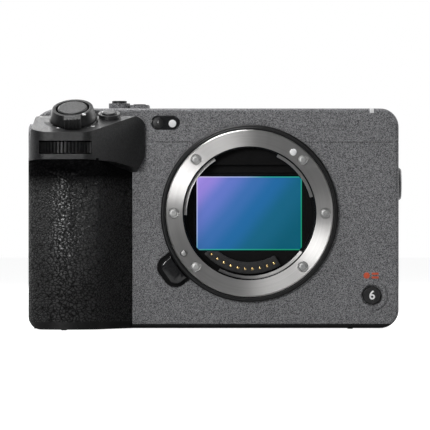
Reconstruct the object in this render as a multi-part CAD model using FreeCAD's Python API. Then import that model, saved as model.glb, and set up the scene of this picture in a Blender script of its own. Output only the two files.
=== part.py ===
import FreeCAD, Part
import math
import os

V = FreeCAD.Vector

# Compact cinema camera body, in millimetres.
# Origin: mouth of the tripod socket, under the lens axis, in the plane of the sensor's surface.
# -Y is the way the lens points, +X is to the right as seen from the front, +Z is up.

# Body
body_left = -77.2
body_right = 52.5
body_height = 77.3
front_y = -15.5
split_y = 10.0
rear_y = 30.5
block_y = rear_y + 5.5
block_right = body_left + 48.0
plate_left = body_left + 36.0
seam_z = body_height - 11.9
seam_gap = 0.14
wall = 1.6
base_thick = 1.5
corner_right = 6.5
corner_top_left = 10.0
corner_bottom_left = 4.6
edge_soft = 1.2
shoulder_z = body_height - 19.0

# Lens mount. The axis lies a little above the middle of the height.
axis_above_middle = 1.75
axis_z = body_height / 2 + axis_above_middle
flange_y = front_y - 2.5
ring_radius = 29.4
throat_radius = 23.05
throat_bevel = 0.45
lip_length = 1.3
undercut = 1.6
claw_reach = 1.05
claw_gap = 0.5
claw_thick = 1.2
claw_spans = ((14.6, 64.4), (122.7, 181.6), (241.7, 323.6))
ring_seat = front_y + wall
skirt_width = 1.7
skirt_proud = 1.8
ring_fit = 0.1
screw_circle = 26.6
screw_angles = (0, 45, 135, 180, 225, 315)
screw_head = 1.7
screw_head_high = 1.1
index_angle = 54.5
index_circle = 26.4
index_radius = 1.3
index_depth = 0.15
lock_angle = 211.4
lock_circle = 27.1
lock_radius = 1.1
lock_proud = 0.9
release_angle = 217.0
release_inner = 27.5
release_outer = 36.9
release_wide = 9.6
release_gap = 0.1
release_round = 3.2
release_proud = 1.5
release_travel = 1.4
recess_margin = 1.35
recess_deep = 0.8

# Dark throat and its contacts
frame_half = 33.0
frame_low = base_thick + 5.9
frame_high = body_height - wall - 2.3
frame_plate = 2.5
chamber_radius = 22.3
chamber_top = 17.1
chamber_low = 13.4
gate_wide = 40.5
gate_high = 28.5
gate_thick = 1.2
box_half_x = 27.0
box_half_z = 22.0
frame_post = 1.9
contact_outer = 21.3
contact_inner = 17.2
contact_span = (222.0, 301.0)
contact_face_y = front_y - 0.4
pin_count = 10
pin_circle = 19.6
pin_first = 227.2
pin_last = 296.1
pin_half = 0.45
pin_deep = 1.5
pin_proud = 0.25

# Shutter
shutter_front = -7.6
shutter_back = -4.4
shutter_half_x = 29.0
shutter_half_z = 26.0
shutter_skin = 0.5
blade_thick = 0.25
blade_gap = 0.12
blade_high = 9.9
blade_overlap = 0.7
blade_half_x = 22.5
blade_margin = 0.1
shutter_gate_x = 38.5
shutter_gate_z = 27.0

# Sensor, its moving stage, heat sink, fan and board
glass_wide = 37.3
glass_high = 26.1
glass_chamfer = 1.0
glass_thick = 1.2
sensor_depth = 0.8
holder_half_x = 22.0
holder_half_z = 16.5
holder_front = -1.8
holder_back = 1.6
stage_half_x = 26.0
stage_half_z = 21.0
stage_front = -0.5
stage_back = 2.5
shift_travel = 0.8
shift_gap = 0.3
sink_half_x = frame_half + 1.0
sink_half_z = body_height / 2 - 7.65
sink_wing = 6.0
sink_base = 1.5
fin_high = 4.5
fin_pitch = 4.0
fin_thick = 1.4
fin_margin = 4.0
fan_x = sink_half_x - 5.5
fan_z = 36.0
fan_radius = 11.0
fan_high = 5.0
fan_hub = 4.0
fan_blades = 9
fan_shaft = 1.2
board_front = 20.0
board_thick = 1.6
board_left = block_right + 3.2
board_right = body_right - 6.5
board_low = 8.0
board_high = body_height - 17.3
board_post = 2.0
board_post_inset = 4.0
chip_high = 1.2
vent_count = 8
vent_low = 20.0
vent_pitch = 4.2
vent_high = 1.8
side_vent_y = (13.0, 26.5)
rear_vent_x = (-8.0, 28.0)

# Cards and their door
card_wide = 24.5
card_slot = 2.4
card_deep = 33.5
card_z = 22.0
card_box_front = 12.6
card_y = (card_box_front + 2.8, card_box_front + 8.4)
card_door_y = (card_box_front - 1.2, card_box_front + 14.2)
card_door_z = (14.0, 56.0)
card_post_x = (body_left + 33.5, body_left + 37.5)
side_door_thick = 1.3

# Battery, its door and latch. The battery lies in front of the cards, and the grip is drawn round it.
battery_wide = 22.7
battery_deep = 38.7
battery_gap = 0.3
battery_x = body_left + 2.1
battery_rear = card_box_front - 3.9
battery_y = battery_rear - battery_deep
battery_z = 4.0
door_left = body_left + 1.9
door_hinge_x = battery_x + battery_wide + 1.5
door_front = battery_y - 1.0
door_rear = battery_rear + 0.5
door_low = 0.2
door_thick = 2.1
door_gap = 0.25
door_rim = 1.4
barrel_front = battery_y + 5.0
latch_wide = 8.0
latch_deep = 3.4
latch_travel = 2.5

# Grip
rubber_thick = 1.2
rubber_fit = 0.06
foot_thick = 2.6
grip_front = battery_y - 10.0
grip_valley = (body_left + 24.5, battery_y - 5.5)
grip_outer = (body_left + 3.3, battery_y - 5.5)
grip_side_y = battery_y + 3.0
head_right = body_left + 40.5
head_low = body_height - 17.7
head_rear_low = head_low - 5.0
head_top = body_height - 2.8
head_front = grip_front + 0.7
head_lean = 2.3
head_flank = (body_left + 36.9, grip_front + 18.6)
cap_low = seam_z + 0.2
slope_front = (grip_front + 3.0, head_top - 5.2)
slope_back_y = grip_front + 19.0
hollow_radius = 7.0
hollow_y = grip_front - 4.0
hollow_z = head_low - 0.6
remote_window = (body_left + 15.2, body_left + 20.5, head_low - 14.2, head_low - 7.6)
sensor_window = (body_left + 42.5, body_left + 52.7, body_height - 7.5, body_height - 2.6)
window_fit = 0.08

# Controls on the head
seat_x = body_left + 15.6
seat_y = grip_front + 13.0
seat_z = body_height - 4.0
lean_forward = 26.0
lean_out = 4.0
pedestal_radius = 8.5
zoom_radius = 8.3
zoom_top_radius = 7.1
zoom_high = 4.1
zoom_tab = 1.1
zoom_tab_wide = 6.6
zoom_ribs = 5
zoom_rib_proud = 0.4
zoom_room = 0.6
running_gap = 0.25
shutter_radius = 5.3
shutter_high = 4.6
shutter_stem = 1.6
shutter_press = 1.0
shutter_room = 0.6
slope_x = body_left + 28.1
slope_y = grip_front + 17.7
slope_collar = 3.85
slope_collar_high = 1.4
slope_button = 2.65
slope_button_high = 2.0
front_dial_x = body_left + 13.1
front_dial_y = grip_front + 11.4
front_dial_radius = 11.0
front_dial_low = cap_low - 4.3
front_dial_high = 3.9
front_dial_ribs = 40
dial_window = (body_left + 4.0, body_left + 22.3)
battery_tall = front_dial_low - 5.6 - battery_z

# Ports and their doors
port_door_y = (-12.0, 8.8)
port_low_z = (5.6, 23.6)
port_high_z = (25.2, 43.2)
port_pad = 2.0
connector_deep = 9.0

# Threads and shoe
thread_radius = 2.55
thread_deep = 5.6
bush_radius = 4.2
tripod_bush = 6.0
bush_fit = 0.05
top_threads = ((-24.0, 14.0), (24.0, 14.0), (24.0, -6.0))
right_boss_z = 50.8
right_boss_y = -2.0
right_boss = 5.7
right_proud = 1.3
left_boss_z = seam_z + 0.2
left_boss_y = -4.0
left_boss = 6.4
left_proud = 0.7
shoe_x = 0.0
shoe_front = 4.0
shoe_length = 18.5
shoe_channel = 18.6
shoe_throat = 12.6
shoe_slot = 2.1
shoe_skin = 1.0
shoe_side = 1.3
shoe_below = 0.1

# Top and front controls
record_x = body_right - 9.4
record_z = 11.5
record_collar = 5.25
record_well = 3.8
record_button = 3.1
record_collar_proud = 0.9
button_fit = 0.15
top_record_x = body_left + 31.3
top_record_y = -6.0
top_collar = 3.75
top_collar_high = 1.9
top_button = 2.6
top_button_high = 2.8
plateau = (body_left + 35.1, body_left + 41.8)
plateau_y = (-11.0, 15.0)
plateau_high = 1.3
custom_radius = 2.2
custom_y = (-7.0, 1.5, 10.0)
custom_high = 0.3
power_x = body_left + 15.5
power_y = 12.0
power_radius = 5.2
power_reach = 7.6
power_sink = 0.8
power_proud = 1.6

# Rear controls
rear_dial_x = body_left + 14.5
rear_dial_y = rear_y - 0.7
rear_dial_radius = 8.4
rear_dial_low = seam_z + 4.6
rear_dial_high = 4.5
rear_dial_ribs = 34
dial_pin = 1.5
wheel_x = body_left + 23.5
wheel_z = 26.0
wheel_radius = 10.8
wheel_bore = 6.0
wheel_sink = 1.3
wheel_proud = 1.4
wheel_ribs = 36
wheel_button_proud = 1.8
stick_x = body_left + 36.0
stick_z = body_height - 21.3
stick_well = 5.2
stick_well_deep = 5.6
stick_hub = 1.9
gimbal_half = 3.4
stick_cap = 3.5
rear_press = 0.5
upper_button_z = stick_z - 14.0
rear_buttons = {"menu_button": (body_left + 40.5, upper_button_z - 12.0),
                "function_button": (body_left + 40.5, upper_button_z),
                "playback_button": (body_left + 11.5, 8.5), "delete_button": (body_left + 33.5, 8.5)}
rear_button = 2.6
rear_button_proud = 0.8
rear_button_sink = 1.8
thumb_x = (body_left + 1.5, body_left + 24.5)
thumb_z = (wheel_z + wheel_radius + 5.2, body_height - 13.3)
thumb_proud = 8.5

# Monitor
hinge_x = body_right - 2.8
hinge_y = rear_y + 3.1
hinge_barrel = 2.6
hinge_lug = 2.75
hinge_pin = 1.3
hinge_fit = 0.05
hinge_pin_long = 4.0
monitor_left = block_right + 3.5
monitor_right = hinge_x - 3.1
monitor_low = 8.0
monitor_high = body_height - 15.3
monitor_gap = 0.3
monitor_thick = 6.5
monitor_corner = 3.0
screen_border = 3.4
screen_glass = 0.8
barrel_low = monitor_low + 12.0
barrel_high = monitor_high - 12.0
lug_high = 6.0

# Feet
foot_proud = 0.3
foot_wide = 1.8
foot_long = 6.0
foot_spots = ((body_right - 17.0, -10.0), (body_right - 17.0, 24.0),
              (body_left + 12.6, grip_front + 4.0), (body_left + 12.6, 24.0))


def block(x0, x1, y0, y1, z0, z1):
    """A rectangular block between two corners."""
    return Part.makeBox(x1 - x0, y1 - y0, z1 - z0, V(x0, y0, z0))


def rod(radius, start, direction, length):
    """A round bar from a start point along a direction."""
    return Part.makeCylinder(radius, length, V(*start), V(*direction))


def ring(outer, inner, start, direction, length):
    """A round tube."""
    return rod(outer, start, direction, length).cut(rod(inner, start, direction, length))


def rounded(corners):
    """A closed outline through corners (x, y, radius), each radius as a tangent arc."""
    points = []
    for index, (x, y, radius) in enumerate(corners):
        here = V(x, y, 0)
        before = (V(*corners[index - 1][:2], 0) - here).normalize()
        after_corner = corners[(index + 1) % len(corners)]
        after = (V(*after_corner[:2], 0) - here).normalize()
        if radius == 0:
            points.append((here, here, here))
            continue
        half = before.getAngle(after) / 2
        reach = radius / math.tan(half)
        middle = (before + after).normalize() * (radius / math.sin(half) - radius)
        points.append((here + before * reach, here + middle, here + after * reach))
    edges = []
    for index, (start, middle, end) in enumerate(points):
        if (end - start).Length > 1e-6:
            edges.append(Part.Arc(start, middle, end).toShape())
        following = points[(index + 1) % len(points)][0]
        if (following - end).Length > 1e-6:
            edges.append(Part.LineSegment(end, following).toShape())
    return Part.Wire(edges)


def flat(corners, z0, z1):
    """An outline in plan, raised from z0 to z1."""
    solid = Part.Face(rounded(corners)).extrude(V(0, 0, z1 - z0))
    solid.translate(V(0, 0, z0))
    return solid


def upright(corners, y0, y1):
    """An outline of (x, z, radius) seen from the front, between y0 and y1."""
    solid = Part.Face(rounded(corners)).extrude(V(0, 0, y1 - y0))
    solid.rotate(V(0, 0, 0), V(1, 0, 0), 90)
    solid.translate(V(0, y1, 0))
    return solid


def sideways(corners, x0, x1):
    """An outline of (y, z, radius) seen from the side, between x0 and x1."""
    solid = Part.Face(rounded(corners)).extrude(V(0, 0, x1 - x0))
    solid.rotate(V(0, 0, 0), V(1, 1, 1), 120)
    solid.translate(V(x0, 0, 0))
    return solid


def panel(x0, x1, z0, z1, radius, y0, y1):
    """A plate with rounded corners that faces front or rear."""
    corners = ((x0, z0, radius), (x1, z0, radius), (x1, z1, radius), (x0, z1, radius))
    return upright(corners, y0, y1)


def side_panel(y0, y1, z0, z1, radius, x0, x1):
    """A plate with rounded corners that faces a side."""
    corners = ((y0, z0, radius), (y1, z0, radius), (y1, z1, radius), (y0, z1, radius))
    return sideways(corners, x0, x1)


def around_axis(radius, angle):
    """X and Z of a point round the lens axis."""
    turn = math.radians(angle)
    return radius * math.cos(turn), axis_z + radius * math.sin(turn)


def sector(outer, inner, first, last, y0, y1):
    """A slice of a flat ring round the lens axis, from the first angle to the last."""
    middle = (first + last) / 2

    def spot(radius, angle):
        turn = math.radians(angle)
        return V(radius * math.cos(turn), radius * math.sin(turn), 0)

    edges = [Part.Arc(spot(outer, first), spot(outer, middle), spot(outer, last)).toShape(),
             Part.LineSegment(spot(outer, last), spot(inner, last)).toShape(),
             Part.Arc(spot(inner, last), spot(inner, middle), spot(inner, first)).toShape(),
             Part.LineSegment(spot(inner, first), spot(outer, first)).toShape()]
    solid = Part.Face(Part.Wire(edges)).extrude(V(0, 0, y1 - y0))
    solid.rotate(V(0, 0, 0), V(1, 0, 0), 90)
    solid.translate(V(0, y1, axis_z))
    return solid


def knurled(radius, depth, ribs, high):
    """A disc with straight ribs round its edge, standing on the origin."""
    corners = []
    for index in range(ribs):
        for share, reach in ((0.0, radius), (0.5, radius), (0.75, radius - depth)):
            turn = 2 * math.pi * (index + share) / ribs
            corners.append(V(reach * math.cos(turn), reach * math.sin(turn), 0))
    outline = Part.makePolygon(corners + corners[:1])
    return Part.Face(outline).extrude(V(0, 0, high))


def join(first, *others):
    """Solids that are one moulding."""
    return first.fuse(list(others)).removeSplitter()


def soften(solid, radius, chosen):
    """Round the edges of a solid that a test picks."""
    edges = [edge for edge in solid.Edges if chosen(edge)]
    return solid.makeFillet(radius, edges)


def bevel(solid, size, chosen):
    """Bevel the edges of a solid that a test picks."""
    edges = [edge for edge in solid.Edges if chosen(edge)]
    return solid.makeChamfer(size, edges)


def lies_at_y(y):
    """A test for edges that lie in one plane facing front or rear."""
    def test(edge):
        box = edge.BoundBox
        return abs(box.YMin - y) < 1e-4 and abs(box.YMax - y) < 1e-4
    return test


def lies_at_z(z):
    """A test for edges that lie in one level plane."""
    def test(edge):
        box = edge.BoundBox
        return abs(box.ZMin - z) < 1e-4 and abs(box.ZMax - z) < 1e-4
    return test


pieces = {}


def keep(name, *solids):
    """Name a piece. Several solids are a group of the same fastener or the like."""
    pieces[name] = solids[0] if len(solids) == 1 else Part.makeCompound(list(solids))


# Shape of the covers

def body_outline(inset):
    """The body's outline from the front, drawn in by an inset."""
    left, right = body_left + inset, body_right - inset
    low, high = (base_thick if inset else 0.0), body_height - inset
    return ((left, low, max(corner_bottom_left - inset, 0.5)), (right, low, corner_right - inset),
            (right, high, corner_right - inset), (left, high, corner_top_left - inset))


def body_form():
    """The whole outside, with the control block that stands out at the rear."""
    main = upright(body_outline(0), front_y, rear_y)
    main = soften(main, edge_soft, lies_at_y(front_y))
    rear_block = upright(body_outline(0), rear_y - 5, block_y)
    rear_block = rear_block.common(block(body_left - 1, block_right, front_y, block_y, -1, body_height + 1))
    rear_block = soften(rear_block, edge_soft, lies_at_y(block_y))
    return join(main, rear_block)


body = body_form()
inside = upright(body_outline(wall), front_y + wall, rear_y - wall)
block_inside = upright(body_outline(wall), rear_y - 5, block_y - wall)
block_inside = block_inside.common(block(body_left, block_right - wall, 0, block_y, 0, body_height))
shell = body.cut(inside).cut(block_inside)
beyond = 200.0


def boss_outside(radius, centre_y, centre_z, side_x, proud, inward):
    """A round boss with a bevelled rim on a side wall."""
    way = 1 if side_x > 0 else -1
    start = (side_x - way * inward, centre_y, centre_z)
    bevel = proud * 0.5
    trunk = rod(radius, start, (way, 0, 0), inward + proud - bevel)
    rim = Part.makeCone(radius, radius - bevel, bevel, V(side_x + way * (proud - bevel), centre_y, centre_z),
                        V(way, 0, 0))
    return trunk.fuse(rim)


def release_shape(margin, y0, y1):
    """The outline of the lens release button, grown by a margin: round outside, hollow along the skirt."""
    half = release_wide / 2 + margin
    outer = release_outer + margin
    soft = release_round + margin * 0.8
    plate = upright(((release_inner, -half, 0), (outer, -half, soft), (outer, half, soft),
                     (release_inner, half, 0)), y0, y1)
    plate.rotate(V(0, 0, 0), V(0, 1, 0), -release_angle)
    plate.translate(V(0, 0, axis_z))
    return plate.cut(rod(skirt_outer() + release_gap - margin, (0, y0 - 1, axis_z), (0, 1, 0), y1 - y0 + 2))


def skirt_outer():
    """Outer radius of the black skirt round the mount ring."""
    return ring_radius + ring_fit + skirt_width


def front_cover():
    """Front plate and right side wall, with the record collar and the door frames."""
    part = shell.common(block(plate_left, beyond, -beyond, split_y, base_thick, seam_z))
    pad_y = (port_door_y[0] - 1.6, port_door_y[1] + 1.0)
    pad_z = (port_low_z[0] - 1.6, port_high_z[1] + 1.6)
    pad = block(body_right - wall - port_pad, body_right - wall, *pad_y, *pad_z)
    collar = rod(record_collar, (record_x, front_y + wall, record_z), (0, -1, 0), wall + record_collar_proud)
    boss = boss_outside(right_boss, right_boss_y, right_boss_z, body_right, right_proud, wall + 1.4)
    part = join(part, pad, collar, boss)
    part = part.cut(rod(ring_radius + ring_fit, (0, front_y - 1, axis_z), (0, 1, 0), wall + 2))
    part = part.cut(release_shape(recess_margin, front_y - 1, front_y + recess_deep))
    part = part.cut(release_shape(button_fit, front_y - 1, front_y + wall + 1))
    part = part.cut(rod(record_well, (record_x, front_y - record_collar_proud - 1, record_z), (0, 1, 0), 2.2))
    part = part.cut(rod(record_button + button_fit, (record_x, front_y - 3, record_z), (0, 1, 0), wall + 4))
    hole = (body_right + right_proud + 1, right_boss_y, right_boss_z)
    part = part.cut(rod(bush_radius + bush_fit, hole, (-1, 0, 0), 10))
    for low, high in (port_low_z, port_high_z):
        part = part.cut(door_recess(low, high))
    for x0, x1, y, z in connector_places():
        part = part.cut(block(body_right - 4.5, body_right, y - x0 - 0.2, y + x0 + 0.2, z - x1 - 0.2, z + x1 + 0.2))
    return part


def door_recess(low, high):
    """The sunk place of a port door, with a round groove for its hinge."""
    floor_x = body_right - side_door_thick - 0.15
    sunk = block(floor_x, beyond, port_door_y[0], port_door_y[1] + door_gap, low - door_gap, high + door_gap)
    barrel_x, barrel_y, barrel_r = port_barrel()
    groove = rod(barrel_r + 0.2, (barrel_x, barrel_y, low - door_gap), (0, 0, 1), high - low + 2 * door_gap)
    return sunk.fuse(groove)


def port_barrel():
    """X, Y and radius of the port doors' hinge barrel."""
    radius = side_door_thick / 2
    return body_right - radius, port_door_y[0] + radius + 0.25, radius


def connector_places():
    """Half sizes along Y and Z, then Y and Z, of the sockets behind the port doors."""
    high = (port_high_z[0] + port_high_z[1]) / 2
    low = (port_low_z[0] + port_low_z[1]) / 2
    return ((3.2, 3.2, -5.6, high), (3.2, 3.2, 3.6, high), (3.1, 7.6, -6.0, low),
            (1.8, 4.8, 0.6, low), (1.6, 3.9, 5.8, low))


def top_cover():
    """Roof with the shoe pocket, the record collar and the raised strip of custom buttons."""
    part = shell.common(block(-beyond, beyond, -beyond, beyond, seam_z + seam_gap, beyond))
    shoulder = shell.common(block(-beyond, body_left + wall, front_y, split_y, shoulder_z, seam_z + seam_gap))
    roof_low = body_height - wall
    strip_x = (plateau[0], plateau[1])
    strip = flat(((strip_x[0], plateau_y[0], 1.5), (strip_x[1], plateau_y[0], 1.5),
                  (strip_x[1], plateau_y[1], 1.5), (strip_x[0], plateau_y[1], 1.5)),
                 roof_low, body_height + plateau_high)
    collar = rod(top_collar, (top_record_x, top_record_y, roof_low), (0, 0, 1), wall + top_collar_high)
    left = boss_outside(left_boss, left_boss_y, left_boss_z, body_left, left_proud, wall)
    pocket_half = shoe_channel / 2 + shoe_side + shoe_below
    pocket_floor = shoe_floor() - wall * 0.75
    tray = block(shoe_x - pocket_half - wall, shoe_x + pocket_half + wall, shoe_front - 0.3 - wall, rear_y - 0.5,
                 pocket_floor, roof_low)
    post = rod(dial_pin, (rear_dial_x, rear_dial_y, rear_dial_low - 1.0), (0, 0, 1), roof_low - rear_dial_low + 1.0)
    flange = rod(dial_pin + 0.9, (rear_dial_x, rear_dial_y, rear_dial_low - 1.0), (0, 0, 1), 0.8)
    part = join(part, shoulder, strip, collar, left, tray, post, flange)
    part = part.cut(block(shoe_x - pocket_half, shoe_x + pocket_half, shoe_front - 0.3, beyond,
                          shoe_floor(), beyond))
    part = part.cut(rod(top_button + button_fit, (top_record_x, top_record_y, roof_low - 1), (0, 0, 1), 8))
    for y in custom_y:
        part = part.cut(rod(custom_radius + button_fit, (sum(plateau) / 2, y, roof_low - 1), (0, 0, 1), 8))
    part = part.cut(rod(power_radius + 0.25, (power_x, power_y, body_height - power_sink), (0, 0, 1), 5))
    part = part.cut(rod(1.05, (power_x, power_y, roof_low - 1), (0, 0, 1), 5))
    for x, y in top_threads:
        part = part.cut(rod(bush_radius + bush_fit, (x, y, roof_low - 1), (0, 0, 1), 8))
    hole = (body_left - left_proud - 1, left_boss_y, left_boss_z)
    part = part.cut(rod(bush_radius + bush_fit, hole, (1, 0, 0), 10))
    reach = math.sqrt((rear_dial_radius + 0.3) ** 2 - (block_y - rear_dial_y - wall) ** 2)
    part = part.cut(block(rear_dial_x - reach - 0.3, rear_dial_x + reach + 0.3, block_y - wall - 1, block_y + 1,
                          rear_dial_low - running_gap, rear_dial_low + rear_dial_high + running_gap))
    part = part.cut(rod(ring_radius + ring_fit, (0, front_y - 1, axis_z), (0, 1, 0), wall + 2))
    return part.cut(pill(*sensor_window, window_fit, front_y - 1, front_y + wall + 1))


def pill(x0, x1, z0, z1, margin, y0, y1):
    """A long round-ended plate that faces front, grown by a margin."""
    radius = min(x1 - x0, z1 - z0) / 2 + margin - 0.01
    return panel(x0 - margin, x1 + margin, z0 - margin, z1 + margin, radius, y0, y1)


def shoe_floor():
    """Height of the shoe pocket's floor."""
    return body_height - shoe_below - 2 * shoe_skin - shoe_slot


def rear_cover():
    """Rear wall with the monitor's place, the control block, the hinge lugs and the air slots."""
    part = shell.common(block(-beyond, beyond, split_y, beyond, base_thick, seam_z))
    fill = body.common(block(-beyond, block_right, rear_y - wall - 2, beyond, base_thick, seam_z))
    part = join(part, fill)
    door_pad = block(body_left + wall, body_left + wall + 1.4, split_y, rear_y - wall - 2,
                     card_door_z[0] - 3, card_door_z[1] + 3)
    half, inset = board_post, board_post_inset
    posts = [block(x - half, x + half, board_front + board_thick, rear_y - wall + 0.2, z - half, z + half)
             for x in (board_left + inset, board_right - inset) for z in (board_low + inset, board_high - inset)]
    card_post = block(*card_post_x, card_box_rear(), rear_y - wall, card_z, card_z + 10)
    part = join(part, door_pad, card_post, *posts)
    for z in (barrel_low - 0.3 - lug_high, barrel_high + 0.3):
        lug = rod(hinge_lug, (hinge_x, hinge_y, z), (0, 0, 1), lug_high)
        foot = block(hinge_x - hinge_lug, hinge_x + hinge_lug, rear_y - wall, hinge_y, z, z + lug_high)
        part = join(part, lug, foot)
    part = part.cut(rod(hinge_pin + hinge_fit, (hinge_x, hinge_y, barrel_low - hinge_pin_long - 0.6), (0, 0, 1),
                        barrel_high - barrel_low + 2 * hinge_pin_long + 1.2))
    for index in range(vent_count):
        z = vent_low + vent_pitch * index
        part = part.cut(block(body_right - wall - 1, beyond, *side_vent_y, z, z + vent_high))
        part = part.cut(block(*rear_vent_x, rear_y - wall - 1, beyond, z, z + vent_high))
    for name, (x, z) in rear_buttons.items():
        part = part.cut(rod(rear_button + button_fit, (x, block_y - rear_button_sink, z), (0, 1, 0), 5))
    part = part.cut(rod(wheel_radius + 0.25, (wheel_x, block_y - wheel_sink, wheel_z), (0, 1, 0), 5))
    part = part.cut(rod(wheel_bore - 0.2, (wheel_x, block_y - wheel_sink - 1.2, wheel_z), (0, 1, 0), 5))
    part = part.cut(rod(stick_well, (stick_x, block_y - stick_well_deep, stick_z), (0, 1, 0), 8))
    part = part.cut(rod(0.6, (stick_x - stick_well - 0.6, stick_y(), stick_z), (1, 0, 0), 2 * stick_well + 1.2))
    recess = block(-beyond, body_left + side_door_thick + 0.15, card_door_y[0], card_door_y[1] + door_gap,
                   card_door_z[0] - door_gap, card_door_z[1] + door_gap)
    barrel_x, barrel_y, barrel_r = card_barrel()
    groove = rod(barrel_r + 0.2, (barrel_x, barrel_y, card_door_z[0] - door_gap), (0, 0, 1),
                 card_door_z[1] - card_door_z[0] + 2 * door_gap)
    entry = block(body_left - 1, body_left + wall + 2, card_y[0] - 1.2, card_y[1] + card_slot + 1.2,
                  card_z - 1.0, card_z + card_wide + 1.0)
    return part.cut(recess).cut(groove).cut(entry)


def card_box_rear():
    """Rear face of the card slots, against the control block."""
    return rear_y - wall - 2.0


def card_barrel():
    """X, Y and radius of the card door's hinge barrel."""
    radius = side_door_thick / 2
    return body_left + radius, card_door_y[0] + radius + 0.25, radius


def stick_y():
    """Depth of the joystick's pivots."""
    return block_y - stick_well_deep + 2.9


def grip_plan(right, rear):
    """The grip from above: a hollowed inner wall, a full front and a straight outer side."""
    inner_front = V(plate_left, front_y, 0)
    valley = V(*grip_valley, 0)
    outer = V(*grip_outer, 0)
    side = V(body_left, grip_side_y, 0)
    wall_way = (valley - inner_front).normalize()
    dip = V(wall_way.y, -wall_way.x, 0) * 0.7
    front = V((grip_valley[0] + grip_outer[0]) / 2, grip_front, 0)
    turn = (outer + side) * 0.5 + V(-0.9, -0.8, 0)
    edges = [Part.Arc(inner_front, (inner_front + valley) * 0.5 + dip, valley).toShape(),
             Part.Arc(valley, front, outer).toShape(),
             Part.Arc(outer, turn, side).toShape(),
             Part.LineSegment(side, V(body_left, rear, 0)).toShape(),
             Part.LineSegment(V(body_left, rear, 0), V(right, rear, 0)).toShape(),
             Part.LineSegment(V(right, rear, 0), V(right, front_y, 0)).toShape()]
    if right > plate_left:
        edges.append(Part.LineSegment(V(right, front_y, 0), inner_front).toShape())
    return Part.Face(Part.Wire(edges))


def raised(face, z0, z1):
    """A flat face raised from z0 to z1."""
    solid = face.extrude(V(0, 0, z1 - z0))
    solid.translate(V(0, 0, z0))
    return solid


def base_plate():
    """Floor of the body with the tripod hole, the rim round the battery door and four small feet."""
    corner_form = body.common(block(-beyond, beyond, -beyond, beyond, -1, foot_thick))
    floor = corner_form.common(block(-beyond, beyond, -beyond, beyond, -1, base_thick))
    foot = raised(grip_plan(plate_left, split_y), 0, foot_thick)
    lean = upright(body_outline(0), -60, split_y).common(block(body_left - 1, plate_left, -60, split_y, -1, 30))
    foot = foot.common(lean)
    part = join(floor, foot)
    part = part.cut(rod(tripod_bush + bush_fit, (0, 0, -1), (0, 0, 1), 4))
    opening = block(door_left - door_gap, door_hinge_x, barrel_front - door_gap, door_rear + door_gap, -1, 5)
    opening = opening.fuse(block(door_left - door_gap, door_step() + door_gap, door_front - door_gap,
                                 barrel_front, -1, 5))
    part = part.cut(opening.common(raised(grip_plan(plate_left, split_y).makeOffset2D(door_gap - door_rim), -1, 5)))
    x, z, radius = battery_barrel()
    part = part.cut(rod(radius + 0.2, (x, barrel_front - door_gap, z), (0, 1, 0),
                        door_rear - barrel_front + 2 * door_gap))
    part = part.cut(block(x - 0.1, x + radius + 0.2, barrel_front - door_gap, door_rear + door_gap, -1, z))
    for x, y in foot_spots:
        nub = block(x - foot_wide / 2, x + foot_wide / 2, y - foot_long / 4, y + foot_long / 4, -foot_proud, 1.0)
        part = part.fuse(nub)
    return part.removeSplitter()


def door_step():
    """X of the battery door's inner edge in front of its hinge barrel, just past the battery."""
    return battery_x + battery_wide


def battery_barrel():
    """X, Z and radius of the battery door's hinge barrel."""
    radius = door_thick / 2
    return door_hinge_x, door_low + radius, radius


keep("front_cover", front_cover())
keep("top_cover", top_cover())
keep("rear_cover", rear_cover())
keep("base_plate", base_plate())


# Grip

def core_plan(inset):
    """The grip from above, drawn in from the rubber's face by an inset."""
    wide = grip_plan(plate_left + 4, split_y + 4)
    return wide.makeOffset2D(-inset)


def finger_hollow(extra):
    """The hollow under the head that the middle finger lies in."""
    return rod(hollow_radius + extra, (body_left - 5, hollow_y, hollow_z), (1, 0, 0), 60)


def grip_side_form(y0, y1):
    """The grip from the front, with the body's rounded lower left corner."""
    corners = ((body_left, 0, corner_bottom_left), (plate_left, 0, 0), (plate_left, 90, 0), (body_left, 90, 0))
    return upright(corners, y0, y1)


def head_plan(right):
    """The head of the grip from above."""
    return ((body_left + 0.1, front_y, 0), (body_left + 0.1, head_front + 1.2, 7.5),
            (body_left + 8.5, head_front + 0.1, 5.0), (body_left + 21.0, head_front, 5.0),
            (*head_flank, 3.5), (right, front_y - 1.8, 1.5), (right, front_y, 0))


def head_form():
    """Lower and upper parts of the head in one, with its corners rounded from the front."""
    tall = flat(head_plan(head_right), head_rear_low - 1, head_top + 1)
    corners = ((body_left - 1, head_rear_low, 0), (head_right - 3.0, head_rear_low, 1.5), (head_right, head_low + 0.5, 4.0),
               (head_right, head_top, 4.0), (body_left + head_lean, head_top, 0.8), (body_left + 0.1, cap_low, 3.0),
               (body_left + 0.1, head_low, 0),
               (body_left - 1, head_low, 0))
    face = upright(corners, grip_front - 3, front_y)
    under = sideways(((grip_front - 4, 40, 0), (front_y + 1, 40, 0), (front_y + 1, head_rear_low, 0),
                      (grip_front + 11.0, head_low - 1.2, 3.0), (grip_front - 4, head_low, 0)), -95, 0)
    steep = (head_top - slope_front[1]) / (slope_back_y - slope_front[0])
    ahead = grip_front - 4
    slope_z = slope_front[1] + steep * (ahead - slope_front[0])
    wedge = sideways(((ahead, slope_z, 0), (slope_back_y, head_top, 0), (slope_back_y, 95, 0), (ahead, 95, 0)),
                     -95, 0)
    return tall.common(face).cut(wedge).cut(under)


head = head_form()


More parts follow.
